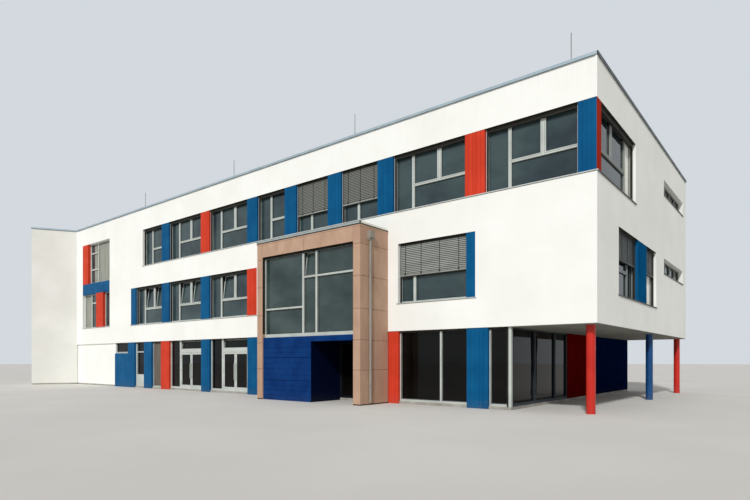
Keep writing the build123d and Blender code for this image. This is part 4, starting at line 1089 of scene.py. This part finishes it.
for pane in lights_in("front", "top_floor_frames"):
    if pane.island.low.y < STAIR_SILL:
        hang(stair_screens, pane, 1.0 if pane.rect[3] - pane.rect[2] > WHOLE_LIGHT else SCREENED_SHARE)
hang(stair_screens, max((pane for pane in lights_in("front", "first_floor_frames")
                         if pane.rect[0] > STAIR_START), key=lambda pane: pane.rect[1]))
for pane in lights_in("front", "ground_floor_frames"):
    if SHUT_LIGHT[0] < pane.rect[0] and pane.rect[1] < SHUT_LIGHT[1]:
        hang(shut_screen, pane)
for node in ("top_floor_frames", "first_floor_frames"):
    hang(side_screens, min((pane for pane in lights_in("right", node)
                            if pane.rect[3] - pane.rect[2] > TALL_LIGHT), key=lambda pane: pane.rect[0]))

# Sills: a painted shadow under the nose of each
SILL_SHADOW = 5 * MM
sill_joints = Piece("sill_joints", dark_trim_and_shade, "grey_metal")
for sill in islands("sills"):
    sill_joints.plate(sill.side, (sill.low.x + 2 * MM, sill.high.x - 2 * MM, sill.low.y - SILL_SHADOW,
                                  sill.low.y), -SUNK, 2 * MM)

# Coping: sleeves over its joints and a drip edge below its face, coloured darker than the coping as painted
# shade under its edge. Roof: a membrane turned up against the parapet all round
COPING_PIECE = 1.5
SLEEVE = 45 * MM
SLEEVE_RISE = 0.8 * MM
WALL = 180 * MM
DRIP = (12 * MM, 4 * MM)
DRIP_START = 0.03
UPSTAND = 0.15
UPSTAND_THICKNESS = 5 * MM
APRON = (0.22, 8 * MM)
overhang = coping_high.x - right_x
sleeves = Piece("coping_sleeves", coping_metal, "grey_metal")
drips = Piece("coping_drip_edges", drip_shade_metal, "grey_metal")
upstands = Piece("roof_upstands", membrane, "grey_metal")
for side in outer_sides:
    for u in evenly(0, side.length, COPING_PIECE)[1:]:
        sleeves.plate(side, (u - SLEEVE / 2, u + SLEEVE / 2, coping_low.z - MM, coping_high.z + MM),
                      -WALL - overhang - MM, overhang + SLEEVE_RISE, CHAMFER)
    drips.plate(side, (DRIP_START, side.length - DRIP_START, coping_low.z - DRIP[0], coping_low.z),
                overhang - DRIP[1], overhang - MM)
    start, end = WALL + 10 * MM, side.length - WALL - 10 * MM
    upstands.plate(side, (start, end, roof_top, roof_top + UPSTAND), -WALL - UPSTAND_THICKNESS, -WALL + SUNK)
    upstands.plate(side, (start, end, roof_top, roof_top + APRON[1]), -WALL - APRON[0], -WALL)

# Lightning rods: a plate on the coping and a collar round each foot
ROD_PLATE = 35 * MM
COLLAR_RADIUS, COLLAR_TOP_RADIUS = 15 * MM, 9 * MM
COLLAR_HEIGHTS = (0.05, 0.07)
clamps = Piece("rod_clamps", rod_metal, "bare_metal")
for faces in solids_of("lightning_rods"):
    points = [point for normal, corner_points in faces for point in corner_points]
    centre = sum(points, Vector()) / len(points)
    foot = Vector((centre.x, centre.y, coping_high.z))
    clamps.plate(Side("rod_plate", foot, LEFTWARDS, UP), (-ROD_PLATE, ROD_PLATE, -ROD_PLATE, ROD_PLATE),
                 0.0, 6 * MM, CHAMFER)
    shoulder, top = [foot + UP * height for height in COLLAR_HEIGHTS]
    clamps.tube(foot, shoulder, COLLAR_RADIUS)
    clamps.tube(shoulder, top, COLLAR_RADIUS, end_radius=COLLAR_TOP_RADIUS)

# Rain pipe: sockets at its joints, each with a bead round its top
PIPE_RADIUS = 25 * MM
PIPE_SIDES = 24
SOCKETS = [0.95, 2.15]
SOCKET_HEIGHT = 0.06
SOCKET_BEAD = 10 * MM
pipe_sockets = Piece("rain_pipe_sockets", pipe_coat, "grey_metal")
pipe_axis = Vector((portal_high.x + 37 * MM, front_y - 625 * MM, 0))
for height in SOCKETS:
    low, top = pipe_axis + UP * height, pipe_axis + UP * (height + SOCKET_HEIGHT)
    pipe_sockets.tube(low, top, PIPE_RADIUS + 3 * MM, PIPE_SIDES)
    pipe_sockets.tube(top, top + UP * SOCKET_BEAD, PIPE_RADIUS + 4 * MM, PIPE_SIDES)

# Doors: metal thresholds
THRESHOLD_REACH = 5 * MM
THRESHOLD_LEVELS = (8 * MM, 2 * MM)
THRESHOLD_DEPTHS = (-0.12, -0.05)
door_thresholds = Piece("door_thresholds", sill_metal, "window_metal")
for leaf in LEAVES:
    leaf_low, leaf_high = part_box(leaf)
    door_thresholds.plate(sides["front"], (
        right_x - leaf_high.x - THRESHOLD_REACH, right_x - leaf_low.x + THRESHOLD_REACH,
        leaf_low.z - THRESHOLD_LEVELS[0], leaf_low.z - THRESHOLD_LEVELS[1]), *THRESHOLD_DEPTHS, 2 * CHAMFER)

for piece in pieces:
    piece.finish()


# Floor, light and camera
def pale_floor():
    """Plain pale studio floor, with only a breath of unevenness."""
    material, tree, shader, place = new_material("pale_studio_floor")
    colour = add(tree, "ValToRGB", [mottling(tree, place, 2.5)], tones=("#D2D0CB", "#D8D6D1"))
    supply(tree, shader, {"Base Color": colour, "Roughness": 0.9})
    return material


FLOOR_REACH = 150.0
FLOOR_LEVEL = -2 * MM
floor_mesh = bpy.data.meshes.new("studio_floor")
floor_mesh.from_pydata([(x * FLOOR_REACH, y * FLOOR_REACH, FLOOR_LEVEL)
                        for x, y in ((-1, -1), (1, -1), (1, 1), (-1, 1))], [], [(0, 1, 2, 3)])
floor_mesh.materials.append(pale_floor())
studio_floor = in_scene("studio_floor", floor_mesh)

AMBIENT = 0.37
BACKDROP = "#D3D9DE"
world = bpy.data.worlds.new("studio")
bpy.context.scene.world = world
world.use_nodes = True
sky = world.node_tree
rays = add(sky, "LightPath").node.outputs
seen = add(sky, "Math", [rays["Is Glossy Ray"], rays["Is Transmission Ray"]], operation="MAXIMUM")
seen = add(sky, "Math", [rays["Is Camera Ray"], seen], operation="MAXIMUM")
supply(sky, sky.nodes["Background"], {
    "Color": add(sky, "Mix", {0: seen, 6: [AMBIENT, AMBIENT, AMBIENT * 1.02, 1.0], 7: BACKDROP}, 2,
                 data_type="RGBA"), "Strength": 1.0})

SUN_HEIGHT = math.radians(37)
SUN_TO_RIGHT = math.radians(20)
key = bpy.data.lights.new("key", "SUN")
key.energy = 2.4
key.angle = math.radians(5)
key.color = (1.0, 0.99, 0.972)
key_lamp = in_scene("key", key)
key_lamp.rotation_euler = (math.pi / 2 - SUN_HEIGHT, 0, SUN_TO_RIGHT)

# The camera stands before the right-hand half of the front, level and at eye height
HEADING = math.radians(38.67)
camera = bpy.data.cameras.new("camera")
camera.lens = 25.97
camera.sensor_width = 36.0
camera.shift_y = 0.1477
camera.clip_end = 500.0
camera_object = in_scene("camera", camera)
camera_object.location = (12.24, -13.06, 0.885)
camera_object.rotation_euler = (math.pi / 2, 0, HEADING)
bpy.context.scene.camera = camera_object

bpy.context.scene.view_settings.view_transform = "Standard"
